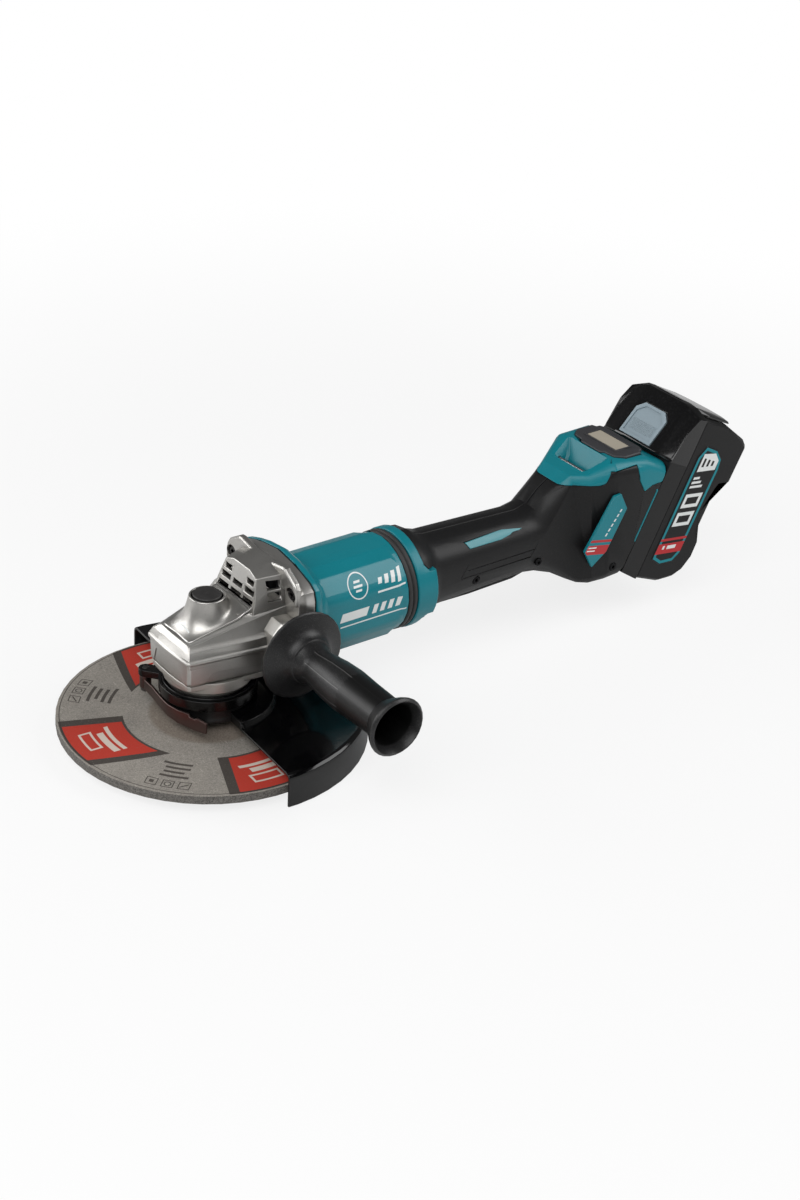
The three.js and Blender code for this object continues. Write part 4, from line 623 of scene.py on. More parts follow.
@dataclass(frozen=True)
class CastMetal(Finish):
    """Light alloy, die-cast and blasted, with fine grain, brighter edges and painted shade in its corners."""

    colour: str = "BAB8B4"
    roughness: float = 0.25
    grain_size: float = 0.0005
    speck_size: float = 0.0013
    cloud_size: float = 0.02
    shades: Pair = (0.86, 1.05)
    specks: Layer = Layer("8A8780", 0.16)
    speck_span: Pair = (0.56, 0.7)
    edges: Layer = Layer("F0EFED", 0.55)
    edge_span: Pair = (0.52, 0.62)
    # painted shade in the corners: its colour and cover, and how far it reaches
    corners: Layer = Layer("34322F", 0.6)
    corner_shade_reach: float = 0.004
    metallic: float = 0.94
    rougher_grain: float = 0.16
    rougher_cloud: float = 0.07
    rougher_paint: float = 0.25
    relief: float = 0.00006
    relief_strength: float = 0.7
    speck_height: float = 0.6

    def paint(self, plan: Plan) -> Wire | float:
        """Says where white paint covers the metal; plain metal has none."""
        return 0.0

    def plan(self) -> bpy.types.Material:
        """Makes the material.

        Returns:
            The alloy, with its paint.
        """
        plan = Plan(self.name)
        place = plan.place()
        grain = plan.noise(place, self.grain_size, 3)
        speck = plan.noise(place, self.speck_size, 2)
        cloud = plan.noise(place, self.cloud_size, 3)
        paint = self.paint(plan)
        tone = plan.shaded(cloud, self.colour, self.shades)
        tone = plan.laid(tone, speck.ramp(*self.speck_span), self.specks)
        tone = plan.laid(tone, plan.edge(self.edge_span), self.edges)
        # painted shade darkens the corners
        tone = plan.laid(tone, plan.corner(self.corner_shade_reach), self.corners)
        tone = plan.mix(paint, tone, WHITE_INK)
        rough = self.roughness + grain * self.rougher_grain + cloud * self.rougher_cloud
        return plan.close(
            Base_Color=tone,
            Metallic=self.metallic - paint * self.metallic,
            Roughness=rough + paint * self.rougher_paint,
            Normal=plan.bump(grain + speck * self.speck_height, self.relief, self.relief_strength),
        )


@dataclass(frozen=True)
class GearCaseMetal(CastMetal):
    """The gear case's alloy, with two small strokes of paint in front of the lock button."""

    strokes: tuple[tuple[Pair, Pair], ...] = (((-26.4, 9.2), (-21.2, 3.4)), ((-23.6, 1.4), (-23.6, -9.6)))
    stroke_width: float = 0.85
    deck_span: Pair = (0.5, 0.6)

    def paint(self, plan: Plan) -> Wire | float:
        """Paints the strokes on the deck, which faces up.

        Args:
            plan: the material.

        Returns:
            1 inside the strokes.
        """
        chart = Chart(plan, (1.0, 0.0, 0.0), (0.0, 1.0, 0.0))
        shape = joined(chart.stroke(start, end, self.stroke_width) for start, end in self.strokes)
        return printed(shape) * plan.facing()[2].ramp(*self.deck_span)


@dataclass(frozen=True)
class TurnedMetal(Finish):
    """Machined or ground steel with fine lines round the spindle's axis."""

    colour: str = "A6A7A9"
    roughness: float = 0.24
    shades: Pair = (0.8, 1.1)
    line_stretch: float = 40.0
    line_size: float = 0.02
    cloud_size: float = 0.012
    # painted shade in the corners: how far it reaches, how dark it is and how much covers
    corner_shade_reach: float = 0.003
    corner_shade: float = 0.2
    corner_shade_cover: float = 0.5
    rougher_lines: float = 0.12
    rougher_cloud: float = 0.08
    relief: float = 0.00003
    relief_strength: float = 0.5

    def plan(self) -> bpy.types.Material:
        """Makes the material.

        Returns:
            The steel.
        """
        plan = Plan(self.name)
        place = plan.place()
        height = plan.axes(place)[2]
        turned = plan.vector(plan.from_axis(place) * self.line_stretch, height * self.line_stretch, 0.0)
        lines = plan.noise(turned, self.line_size, 4)
        cloud = plan.noise(place, self.cloud_size, 2)
        tone = plan.shaded(lines, self.colour, self.shades)
        # painted shade darkens the corners
        dark = ink(self.colour, self.corner_shade)
        tone = plan.mix(plan.corner(self.corner_shade_reach) * self.corner_shade_cover, tone, dark)
        return plan.close(
            Base_Color=tone,
            Metallic=1.0,
            Roughness=self.roughness + lines * self.rougher_lines + cloud * self.rougher_cloud,
            Normal=plan.bump(lines, self.relief, self.relief_strength),
        )


@dataclass(frozen=True)
class Moulded(Finish):
    """Moulded plastic with a fine eroded texture."""

    colour: str = "1C1C1E"
    roughness: float = 0.42
    texture: float = 0.0005
    depth: float = 0.00005
    edge_colour: str = "4A4A4C"
    wear: float = 0.14
    coat: float = 0.0
    shine: float = 0.5
    dulled: float = 0.34
    shades: Pair = (0.88, 1.12)
    cloud_size: float = 0.03
    scuff_size: float = 0.004
    scuff_stretch: Point = (0.35, 1.0, 1.0)
    scuff_span: Pair = (0.6, 0.78)
    grain_span: Pair = (0.5, 0.75)
    grain_cover: float = 0.12
    edge_span: Pair = (0.53, 0.66)
    # painted shade in the corners: how far it reaches, how dark it is and how much covers
    corner_shade_reach: float = 0.003
    corner_shade: float = 0.2
    corner_shade_cover: float = 0.55
    rougher_grain: float = 0.1
    rougher_cloud: float = 0.06
    rougher_scuff: float = 0.05
    relief_strength: float = 0.5

    def marks(self, plan: Plan, tone: Socket) -> Socket:
        """Adds what is printed on the plastic; a plain piece has nothing."""
        return tone

    def matt(self, plan: Plan) -> Wire | float:
        """Says where the surface is dull, 0 to 1; a plain piece is alike all over."""
        return 0.0

    def plan(self) -> bpy.types.Material:
        """Makes the material.

        Returns:
            The plastic, with its prints.
        """
        plan = Plan(self.name)
        place = plan.place()
        grain = plan.noise(place, self.texture, 2)
        cloud = plan.noise(place, self.cloud_size, 3)
        scuff = plan.noise(plan.stretched(place, self.scuff_stretch), self.scuff_size, 4)
        tone = plan.shaded(cloud, self.colour, self.shades)
        tone = plan.laid(tone, grain.ramp(*self.grain_span), Layer(self.edge_colour, self.grain_cover))
        tone = plan.laid(tone, plan.edge(self.edge_span), Layer(self.edge_colour, self.wear))
        # painted shade darkens the corners
        dark = ink(self.colour, self.corner_shade)
        tone = plan.mix(plan.corner(self.corner_shade_reach) * self.corner_shade_cover, tone, dark)
        tone = self.marks(plan, tone)
        matt = self.matt(plan)
        rough = self.roughness + matt * self.dulled + grain * self.rougher_grain
        rough = rough + cloud * self.rougher_cloud + scuff.ramp(*self.scuff_span) * self.rougher_scuff
        return plan.close(
            Base_Color=tone,
            Roughness=rough,
            Coat_Weight=(1 - matt) * self.coat,
            Specular_IOR_Level=self.shine,
            Normal=plan.bump(grain, self.depth, self.relief_strength),
        )


@dataclass(frozen=True)
class HousingPlastic(Moulded):
    """The motor housing's plastic, printed on both sides with a ring and rows of leaning bars."""

    axis_height: float = 73.7
    ring_at: Pair = (112.5, 23.5)
    ring_radius: float = 8.6
    ring_line: float = 0.9
    ring_pitch: float = 3.0
    ring_bar: Bar = Bar(112.5, 23.5, 8.0, 1.5, 0.6)
    ring_shorter: float = 2.4
    first_stair: Bar = Bar(133.0, 23.0, 3.6, 4.0, 1.2)
    stair_growth: Bar = Bar(6.2, 0.0, 0.0, 1.8, 0.3)
    first_block: Bar = Bar(126.5, 2.6, 4.2, 7.4, 2.4)
    block_pitch: float = 7.4
    repeats: int = 4
    long_bars: tuple[Bar, ...] = (
        Bar(142.5, 15.6, 27.0, 1.3, 0.5),
        Bar(107.0, 2.6, 25.0, 7.4, 2.4),
        Bar(125.0, -5.2, 62.0, 1.1, 0.4),
    )
    side_span: Pair = (0.3, 0.4)

    def bars(self) -> list[Bar]:
        """Lists the printed bars.

        Returns:
            Those inside the ring, the stairs beside it, the blocks below and the long ones.
        """
        bars = list(self.long_bars)
        for row in (-1, 0, 1):
            up = self.ring_bar.up + self.ring_pitch * row
            length = self.ring_bar.length - self.ring_shorter * abs(row)
            bars.append(self.ring_bar._replace(up=up, length=length))
        for place in range(self.repeats):
            grown = (first + more * place for first, more in zip(self.first_stair, self.stair_growth))
            bars.append(Bar(*grown))
            bars.append(self.first_block._replace(across=self.first_block.across + self.block_pitch * place))
        return bars

    def marks(self, plan: Plan, tone: Socket) -> Socket:
        """Prints the ring and the bars.

        Args:
            plan: the material.
            tone: the bare plastic's colour.

        Returns:
            The printed colour.
        """
        chart = Chart.on_side(plan, 0.0, (0.0, 0.0, self.axis_height))
        shapes = [chart.ring(self.ring_at, self.ring_radius, self.ring_line)]
        shapes += [chart.bar(bar) for bar in self.bars()]
        side = abs(plan.facing()[1]).ramp(*self.side_span)
        return plan.mix(printed(joined(shapes)) * side, tone, WHITE_INK)


@dataclass(frozen=True)
class FlutedPlastic(Moulded):
    """The side handle's plastic: fine lines along the grip, painted as shade in each groove and a highlight
    along each lip, and painted shade inside the cup.
    """

    axis: Pair = (45.2, 70.1)
    grip: Pair = (-163.0, -78.0)
    lines: int = 8
    turned: float = 12.0
    # painted shade in each groove, and painted highlight along the lip beside it
    groove_shade: Layer = Layer("030303", 0.8)
    groove_half: float = 0.42
    groove_soft: float = 0.2
    lip_highlight: Layer = Layer("B5B4B2", 0.16)
    lip_half: float = 0.3
    lip_at: float = 0.85
    lip_soft: float = 0.25
    # painted shade inside the cup
    cup_shade: Layer = Layer("010101", 0.92)
    cup_radius: float = 17.2
    cup_from: float = -112.0

    def marks(self, plan: Plan, tone: Socket) -> Socket:
        """Paints the lines as groove shade and lip highlight, and paints shade inside the cup.

        Args:
            plan: the material.
            tone: the bare plastic's colour.

        Returns:
            The marked colour.
        """
        chart = Chart.on_side(plan, 0.0, (self.axis[0], 0.0, self.axis[1]))
        along = plan.axes(plan.place())[1] / MM
        radius = chart.distance((0.0, 0.0))
        turns = (chart.v.bearing(chart.u) * DEGREES + self.turned + TURN) / (TURN / self.lines)
        beside = (turns.part() - 0.5) * (2 * math.pi / self.lines) * radius
        on_grip = (along - sum(self.grip) / 2).within((self.grip[1] - self.grip[0]) / 2)
        # painted shade in each groove
        groove_shade = beside.within(self.groove_half).least(on_grip)
        tone = plan.laid(tone, printed(groove_shade, self.groove_soft), self.groove_shade)
        # painted highlight along each lip
        lip_highlight = (beside - self.lip_at).within(self.lip_half).least(on_grip)
        tone = plan.laid(tone, printed(lip_highlight, self.lip_soft), self.lip_highlight)
        # painted shade inside the cup
        inside = (radius < self.cup_radius) * (along < self.cup_from)
        return plan.laid(tone, inside, self.cup_shade)


@dataclass(frozen=True)
class SidePlatePlastic(Moulded):
    """The side plates' plastic: a red band across and a row of small white dashes along one edge."""

    foot: Point = (337.0, 0.0, 60.0)
    rise: float = 54.1  # of the plate's length above the level, in degrees
    bands: tuple[Bar, ...] = (Bar(10.5, 0.0, 9.0, 40.0, -18.0), Bar(19.0, 0.0, 2.4, 40.0, -18.0))
    ticks: tuple[Bar, ...] = (Bar(9.0, 1.6, 1.2, 8.0, -3.6), Bar(12.0, 1.6, 1.2, 8.0, -3.6))
    first_dash: Bar = Bar(27.0, -4.6, 2.8, 1.5, -0.6)
    dashes: int = 6
    dash_pitch: float = 4.6
    side_span: Pair = (0.8, 0.9)

    def marks(self, plan: Plan, tone: Socket) -> Socket:
        """Prints the bands, the dashes and the ticks.

        Args:
            plan: the material.
            tone: the bare plastic's colour.

        Returns:
            The printed colour.
        """
        chart = Chart.on_side(plan, -self.rise, self.foot)
        side = abs(plan.facing()[1]).ramp(*self.side_span)
        bands = joined(chart.bar(bar) for bar in self.bands)
        tone = plan.mix(printed(bands) * side, tone, RED_INK)
        white = list(self.ticks)
        for place in range(self.dashes):
            across = self.first_dash.across + self.dash_pitch * place
            white.append(self.first_dash._replace(across=across))
        dashes = joined(chart.bar(bar) for bar in white)
        return plan.mix(printed(dashes) * side, tone, WHITE_INK)


@dataclass(frozen=True)
class InlayPlastic(Moulded):
    """The grip inlays' plastic: a teal rim round a paler middle, which is a painted sheen with streaks."""

    inner: str = "5A8F95"
    rim_reach: float = 0.0016
    rim_span: Pair = (0.82, 0.97)
    sheen_streak_stretch: Point = (0.2, 1.0, 1.0)
    sheen_streak_size: float = 0.004
    # painted sheen: how much covers everywhere, and more with the streaks
    sheen_cover: Pair = (0.2, 0.45)  # everywhere, and more with the streaks

    def marks(self, plan: Plan, tone: Socket) -> Socket:
        """Paints a sheen on the middle of the strip, away from its edges.

        Args:
            plan: the material.
            tone: the bare plastic's colour.

        Returns:
            The lightened colour.
        """
        # painted sheen on the middle, with streaks
        middle = plan.open(self.rim_reach).ramp(*self.rim_span)
        sheen_streak = plan.noise(plan.stretched(plan.place(), self.sheen_streak_stretch), self.sheen_streak_size, 2)
        return plan.mix(middle * (self.sheen_cover[0] + sheen_streak * self.sheen_cover[1]), tone, ink(self.inner))


@dataclass(frozen=True)
class HoodPlastic(Moulded):
    """The battery cover's plastic: a polished hood above a matt rail block."""

    seat: Point = BATTERY_SEAT
    tilt: float = BATTERY_TILT
    hood_from: float = 103.0
    hood_edge: float = 0.6

    def matt(self, plan: Plan) -> Wire | float:
        """Dulls what lies below the hood."""
        chart = Chart.on_side(plan, self.tilt, self.seat)
        return 1 - chart.v.ramp(self.hood_from, self.hood_from + self.hood_edge)


@dataclass(frozen=True)
class BatteryPlastic(Moulded):
    """The battery case's plastic, with a framed label on both sides."""

    seat: Point = BATTERY_SEAT
    tilt: float = BATTERY_TILT
    panel: tuple[Pair, ...] = (
        (12.9, 124.4), (26.8, 123.7), (35.9, 117.6), (37.8, 108.0), (37.2, 31.4), (32.5, 22.8), (19.0, 17.6),
        (8.0, 20.1), (7.7, 113.4),
    )
    frame_at: float = 1.7
    frame_half: float = 1.25
    band_inset: float = 0.45
    bands: tuple[Step, ...] = (Step(8.0, 37.0, 24.0, 33.5, 9.0), Step(8.0, 37.0, 36.0, 38.4, 9.0))
    ticks: tuple[Step, ...] = (Step(14.0, 16.2, 30.0, 33.3, 0.7), Step(19.0, 28.5, 31.5, 34.8, 3.0))
    window: Step = Step(13.4, 32.2, 51.0, 63.8, 5.8)
    windows: int = 2
    window_pitch: float = 17.0
    window_line: float = 3.0
    stairs: int = 3
    stair: Step = Step(13.4, 27.0, 86.4, 88.6, 4.2)
    stair_growth: Step = Step(0.0, -3.4, 4.0, 4.0, -1.05)
    tab: tuple[Pair, ...] = ((13.4, 101.5), (33.4, 107.7), (33.4, 116.0), (26.6, 121.2), (13.4, 118.0))
    slots: int = 3
    slot_at: Pair = (16.0, 106.4)
    slot_pitch: Pair = (5.2, 1.6)
    slot_width: float = 2.6
    slot_top: float = 114.6
    side_span: Pair = (0.9, 0.95)

    def white(self, chart: Chart) -> Wire:
        """Joins the white marks.

        Args:
            chart: the drawing of the battery's side.

        Returns:
            Millimetres inside them.
        """
        shapes = [chart.step(step) for step in self.ticks]
        for place in range(self.windows):
            up = self.window_pitch * place
            window = self.window._replace(low=self.window.low + up, high=self.window.high + up)
            half = self.window_line / 2
            shapes.append((chart.step(window) - half).within(half))
        for place in range(self.stairs):
            grown = (first + more * place for first, more in zip(self.stair, self.stair_growth))
            shapes.append(chart.step(Step(*grown)))
        shapes.append(chart.field(self.tab))
        return joined(shapes)

    def cut(self, chart: Chart) -> Wire:
        """Joins the dark slots in the tab.

        Args:
            chart: the drawing of the battery's side.

        Returns:
            Millimetres inside them.
        """
        shapes = []
        for place in range(self.slots):
            left, low = (first + pitch * place for first, pitch in zip(self.slot_at, self.slot_pitch))
            right, higher = left + self.slot_width, low + self.slot_pitch[1] / 2
            top = self.slot_top
            shapes.append(chart.field([(left, low), (right, higher), (right, top), (left, top)]))
        return joined(shapes)

    def marks(self, plan: Plan, tone: Socket) -> Socket:
        """Prints the panel with its frame, the red bands and the white marks.

        Args:
            plan: the material.
            tone: the bare plastic's colour.

        Returns:
            The printed colour.
        """
        chart = Chart.on_side(plan, self.tilt, self.seat)
        side = abs(plan.facing()[1]).ramp(*self.side_span)
        inside = chart.field(self.panel)
        bands = joined(chart.step(step) for step in self.bands).least(inside - self.band_inset)
        prints = (
            (inside, PANEL_INK),
            ((inside - self.frame_at).within(self.frame_half), TEAL_INK),
            (bands, RED_INK),
            (self.white(chart), WHITE_INK),
            (self.cut(chart), BARE_INK),
        )
        for shape, colour in prints:
            tone = plan.mix(printed(shape) * side, tone, colour)
        return tone


@dataclass(frozen=True)
class Enamel(Finish):
    """Black enamel on sheet steel: glossy where it lies flat, satin round the skirt, where a lighter colour
    is a painted reflection.
    """

    colour: str = "040405"
    skirt_reflection_colour: str = "101010"
    roughness: float = 0.1
    skirt_roughness: float = 0.34
    skirt_span: Pair = (0.25, 0.6)
    ripple_size: float = 0.0035
    peel_size: float = 0.0009
    dust_size: float = 0.0006
    dust_span: Pair = (0.64, 0.74)
    dust: Layer = Layer("8C8A86", 0.05)
    edges: Layer = Layer("9A9896", 0.5)
    edge_span: Pair = (0.56, 0.68)
    rougher_ripple: float = 0.05
    rougher_dust: float = 0.1
    coat: float = 0.08
    shine: float = 0.36
    relief: float = 0.00004
    relief_strength: float = 0.35
    peel_height: float = 0.4

    def plan(self) -> bpy.types.Material:
        """Makes the material.

        Returns:
            The enamel.
        """
        plan = Plan(self.name)
        place = plan.place()
        upright = 1 - abs(plan.facing()[2]).ramp(*self.skirt_span)
        ripple = plan.noise(place, self.ripple_size, 2)
        peel = plan.noise(place, self.peel_size, 2)
        dust = plan.noise(place, self.dust_size, 2).ramp(*self.dust_span)
        # painted reflection: upright faces get a lighter colour
        tone = plan.mix(upright, ink(self.colour), ink(self.skirt_reflection_colour))
        tone = plan.laid(tone, dust, self.dust)
        tone = plan.laid(tone, plan.edge(self.edge_span), self.edges)
        rough = self.roughness + upright * (self.skirt_roughness - self.roughness)
        return plan.close(
            Base_Color=tone,
            Roughness=rough + ripple * self.rougher_ripple + dust * self.rougher_dust,
            Coat_Weight=self.coat,
            Specular_IOR_Level=self.shine,
            Normal=plan.bump(ripple + peel * self.peel_height, self.relief, self.relief_strength),
        )


@dataclass(frozen=True)
class DiscFace(Finish):
    """Bonded abrasive with a printed face: four red fields with dark borders and rows of dark marks."""

    stone: str = "8C8780"
    stone_shades: Pair = (0.74, 1.2)
    rim: str = "5E5B57"
    rim_shades: Pair = (0.6, 1.7)
    rim_span: Pair = (0.3, 0.7)
    face_span: Pair = (0.8, 0.9)
    grit_size: float = 0.00075
    fleck_size: float = 0.0011
    fleck_span: Pair = (0.6, 0.68)
    flecks: Layer = Layer("5B554E", 0.45)
    cloud_size: float = 0.022
    cloud_span: Pair = (0.35, 0.7)
    clouds: Layer = Layer("A09A90", 0.25)
    fibre_size: float = 0.0012
    fibre_stretch: Point = (1.0, 0.16, 1.0)
    fibre_span: Pair = (0.7, 0.74)
    fibres: Layer = Layer("C4BFB4", 0.4)
    resin: Layer = Layer("5E4A36", 0.45)
    resin_from: Pair = (24.0, 29.0)
    resin_to: Pair = (42.0, 47.0)
    hold_shares: Pair = (0.6, 0.4)  # of the flecks and of the grit
    hold_span: Pair = (0.1, 0.3)
    roughness: float = 0.72
    rougher_flecks: float = 0.2
    grit_height: float = 0.6
    relief: float = 0.00016
    relief_strength: float = 0.7
    parts: int = 4
    turned: float = 176.0
    border: Block = Block(89.0, 24.5, 0.0, 33.0, 0.32)
    field: Block = Block(89.0, 22.5, 0.0, 25.0, 0.32)
    light_bars: tuple[Block, ...] = (Block(80.0, 1.6, 0.0, 17.0), Block(86.5, 2.6, 3.0, 14.0))
    light_frame: Block = Block(97.5, 5.2, -4.0, 12.0)
    light_line: float = 1.8
    row: Block = Block(76.0, 1.3, 1.5, 11.0)
    rows: int = 4
    row_pitch: float = 5.6
    box: Block = Block(103.0, 4.6, 12.5, 4.6)
    box_line: float = 0.8
    dot: Block = Block(103.0, 1.8, -12.5, 1.8)
    ring: Pair = (2.4, 0.9)  # radius and line
    slash: Block = Block(103.0, 0.7, 12.5, 3.0, 0.7)
    circle: Pair = (112.2, 0.7)  # radius and line
    border_ink: Layer = Layer("2E2722", 0.9)
    field_ink: Layer = Layer("B5301F", 0.94)
    light_ink: Layer = Layer("CFC8BC", 0.9)
    row_ink: Layer = Layer("2E2722", 0.85)
    soft: float = 0.15
    row_soft: float = 0.12

    def plan(self) -> bpy.types.Material:
        """Makes the material.

        Returns:
            The abrasive, printed on its upper side.
        """
        plan = Plan(self.name)
        place = plan.place()
        grit = plan.grains(place, self.grit_size)
        fleck = plan.noise(place, self.fleck_size, 3)
        cloud = plan.noise(place, self.cloud_size, 4)
        fibre = plan.noise(plan.stretched(place, self.fibre_stretch), self.fibre_size, 1)
        radius = plan.from_axis(place) / MM
        brown = radius.ramp(*self.resin_from) * (1 - radius.ramp(*self.resin_to))
        tone = plan.shaded(grit, self.stone, self.stone_shades)
        tone = plan.laid(tone, cloud.ramp(*self.cloud_span), self.clouds)
        tone = plan.laid(tone, fleck.ramp(*self.fleck_span), self.flecks)
        tone = plan.laid(tone, fibre.ramp(*self.fibre_span), self.fibres)
        tone = plan.laid(tone, brown, self.resin)
        flecks, grits = self.hold_shares
        hold = (fleck * flecks + grit * grits).ramp(*self.hold_span)
        tone = self.prints(plan, tone, radius, hold * plan.facing()[2].ramp(*self.face_span))
        upright = 1 - abs(plan.facing()[2]).ramp(*self.rim_span)
        tone = plan.mix(upright, tone, plan.shaded(grit, self.rim, self.rim_shades))
        return plan.close(
            Base_Color=tone,
            Roughness=self.roughness + fleck * self.rougher_flecks,
            Normal=plan.bump(grit * self.grit_height + fleck, self.relief, self.relief_strength),
        )

    def light(self, sector: Sector) -> Wire:
        """Joins the light marks on a red field."""
        frame = sector.outline(self.light_frame, self.light_line)
        return joined([frame, *(sector.block(block) for block in self.light_bars)])

    def dark(self, sector: Sector) -> Wire:
        """Joins the dark marks between two red fields.

        Args:
            sector: the part of the drawing between the middles of the fields.

        Returns:
            Millimetres inside them.
        """
        shapes = []
        for place in range(self.rows):
            moved, shorter = self.row.across * (place % 2), self.row.across * (place % 3)
            out = self.row.out + self.row_pitch * place
            shapes.append(sector.block(Block(out, self.row.tall, moved, self.row.wide - shorter)))
        for side in (-1, 0, 1):
            box = self.box._replace(across=self.box.across * side)
            shapes.append(sector.outline(box, self.box_line))
        shapes.append(sector.block(self.dot))
        shapes.append(sector.ring(self.box.out, *self.ring))
        shapes.append(sector.slash(self.slash))
        shapes.append((sector.radius - self.circle[0]).within(self.circle[1] / 2))
        return joined(shapes)

    def prints(self, plan: Plan, tone: Socket, radius: Wire, hold: Wire) -> Socket:
        """Prints the face.

        Args:
            plan: the material.
            tone: the bare stone's colour.
            radius: distance from the axis, in millimetres.
            hold: 1 where the ink holds, less where grit shows through, 0 off the face.

        Returns:
            The printed colour.
        """
        x, y, _ = plan.axes(plan.place())
        turns = (y.bearing(x) * DEGREES - self.turned + 2 * TURN) / (TURN / self.parts) + 0.5
        fields, between = Sector(radius, turns, self.parts), Sector(radius, turns + 0.5, self.parts)
        layers = (
            (fields.block(self.border), self.soft, self.border_ink),
            (fields.block(self.field), self.soft, self.field_ink),
            (self.light(fields), self.soft, self.light_ink),
            (self.dark(between), self.row_soft, self.row_ink),
        )
        for shape, soft, layer in layers:
            tone = plan.laid(tone, printed(shape, soft) * hold, layer)
        return tone


TEAL = Moulded("teal_body", TEAL_COLOUR, 0.3, edge_colour=TEAL_EDGES, coat=0.05, shine=0.35)
STEEL = TurnedMetal("ground_steel")
DARK_STEEL = TurnedMetal("dark_steel", "5A5A5C", 0.32)
BLACK = Moulded("black_body", "0E0E0F", 0.4, shine=0.3)
GREY = Moulded("grey_body", "333437", 0.45, edge_colour="6C6D70")


# ---------------------------------------------------------------- mesh work
@dataclass(frozen=True)
class Edges:
    """How the sharp edges of a solid are found and rounded. Lengths are in metres, angles in degrees."""

    angle: float = 28.0
    merged: bool = True
    drawn: Mover | None = None
    share: float = 0.3
    flat: float = 0.7
    weld: float = 2e-6
    segments: int = 2

    def room(self, edge: bmesh.types.BMEdge, width: float) -> float:
        """Finds how much of the width fits at an edge.

        Args:
            edge: the edge to be rounded.
            width: the rounding.

        Returns:
            0 to 1; a neighbouring edge gives up no more than its share.
        """
        room = width
        for vert in edge.verts:
            for other in vert.link_edges:
                if other is not edge:
                    room = min(room, other.calc_length() * self.share)
        return room / width

    def clean(self, work: bmesh.types.BMesh) -> None:
        """Moves the points, welds them and joins the triangles of flat faces.

        Args:
            work: the mesh.
        """
        if self.drawn is not None:
            for vert in work.verts:
                vert.co = self.drawn(vert.co)
        bmesh.ops.remove_doubles(work, verts=work.verts, dist=self.weld)
        if self.merged:
            limit = math.radians(self.flat)
            bmesh.ops.dissolve_limit(work, angle_limit=limit, verts=work.verts, edges=work.edges)
        bmesh.ops.dissolve_degenerate(work, dist=self.weld, edges=work.edges)

    def weigh(self, work: bmesh.types.BMesh, width: float) -> None:
        """Gives each sharp outer edge its share of the width and keeps each inner one sharp.

        Args:
            work: the mesh.
            width: the rounding.
        """
        weight = work.edges.layers.float.new("bevel_weight_edge")
        for edge in work.edges:
            edge.smooth = True
            if len(edge.link_faces) != 2 or edge.calc_face_angle() < math.radians(self.angle):
                continue
            if edge.is_convex:
                edge[weight] = max(0.0, min(1.0, self.room(edge, width)))
            else:
                edge.smooth = False
        for face in work.faces:
            face.smooth = True

    def rounded(self, source: bpy.types.Mesh, name: str, width: float) -> bpy.types.Object:
        """Makes a rounded piece.

        Args:
            source: the solid's mesh, which stays as it is.
            name: the piece's name.
            width: the rounding.

        Returns:
            The piece, linked to the scene.
        """
        mesh = source.copy()
        mesh.name = name
        work = bmesh.new()
        work.from_mesh(mesh)
        self.clean(work)
        self.weigh(work, width)
        work.to_mesh(mesh)
        work.free()
        piece = linked(name, mesh)
        bevel = piece.modifiers.new("rounding", "BEVEL")
        bevel.limit_method = "WEIGHT"
        bevel.width = width
        bevel.segments = self.segments
        bevel.use_clamp_overlap = False
        weighted = piece.modifiers.new("shading", "WEIGHTED_NORMAL")
        weighted.keep_sharp = True
        return piece


def linked(name: str, mesh: bpy.types.Mesh) -> bpy.types.Object:
    """Puts a mesh into the scene as an object of its own.

    Args:
        name: the object's name.
        mesh: its mesh.

    Returns:
        The object.
    """
    piece = bpy.data.objects.new(name, mesh)
    bpy.context.scene.collection.objects.link(piece)
    return piece


def closed_band(name: str, rings: Sequence[Sequence[Point]]) -> bpy.types.Mesh:
    """Joins rings of points into a mesh; the last ring joins the first again.

    Args:
        name: the mesh's name.
        rings: equally long closed rings, in metres.

    Returns:
        A closed mesh with smooth faces.
    """
    count = len(rings[0])
    points = [point for ring in rings for point in ring]
    faces = []
    for ring in range(len(rings)):
        here, there = ring * count, (ring + 1) % len(rings) * count
        for step in range(count):
            beside = (step + 1) % count
            faces.append((here + step, there + step, there + beside, here + beside))
    mesh = bpy.data.meshes.new(name)
    mesh.from_pydata(points, [], faces)
    for polygon in mesh.polygons:
        polygon.use_smooth = True
    return mesh


def prism(work: bmesh.types.BMesh, ends: Sequence[Sequence[Point]]) -> None:
    """Adds a closed prism to a mesh.

    Args:
        work: the mesh.
        ends: the corners of its two ends, in the same order, in metres.
    """
    near, far = ([work.verts.new(corner) for corner in end] for end in ends)
    for place, corner in enumerate(near):
        after = (place + 1) % len(near)
        work.faces.new((corner, near[after], far[after], far[place]))
    work.faces.new(near)
    work.faces.new(far)


# ---------------------------------------------------------------- sub-assemblies
@dataclass(frozen=True)
class Packed:
    """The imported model: its solids by name, and the body and the material slot of each."""

    solids: dict[str, bpy.types.Object]
    bodies: dict[str, str]
    slots: dict[str, str]

    @classmethod
    def of(cls, frame: dict) -> "Packed":
        """Sorts what the frame says about each solid.

        Args:
            frame: the loaded model.

        Returns:
            The model, with each solid's body and slot.
        """
        record = frame["record"]
        owners = record["behaviour"]["bodies"].items()
        return cls(
            solids=frame["nodes"],
            bodies={node: body for body, nodes in owners for node in nodes},
            slots={row["node"]: row["material_slot"] for row in record["subparts"]},
        )


class Held(Enum):
    """The end of an upright spring that stays in place, as a share of its height."""

    FOOT = 0.0
    TOP = 1.0


class Press(NamedTuple):
    """A joint, a travel in millimetres and the end of a spring that stays in place."""

    joint: str
    travel: float
    held: Held


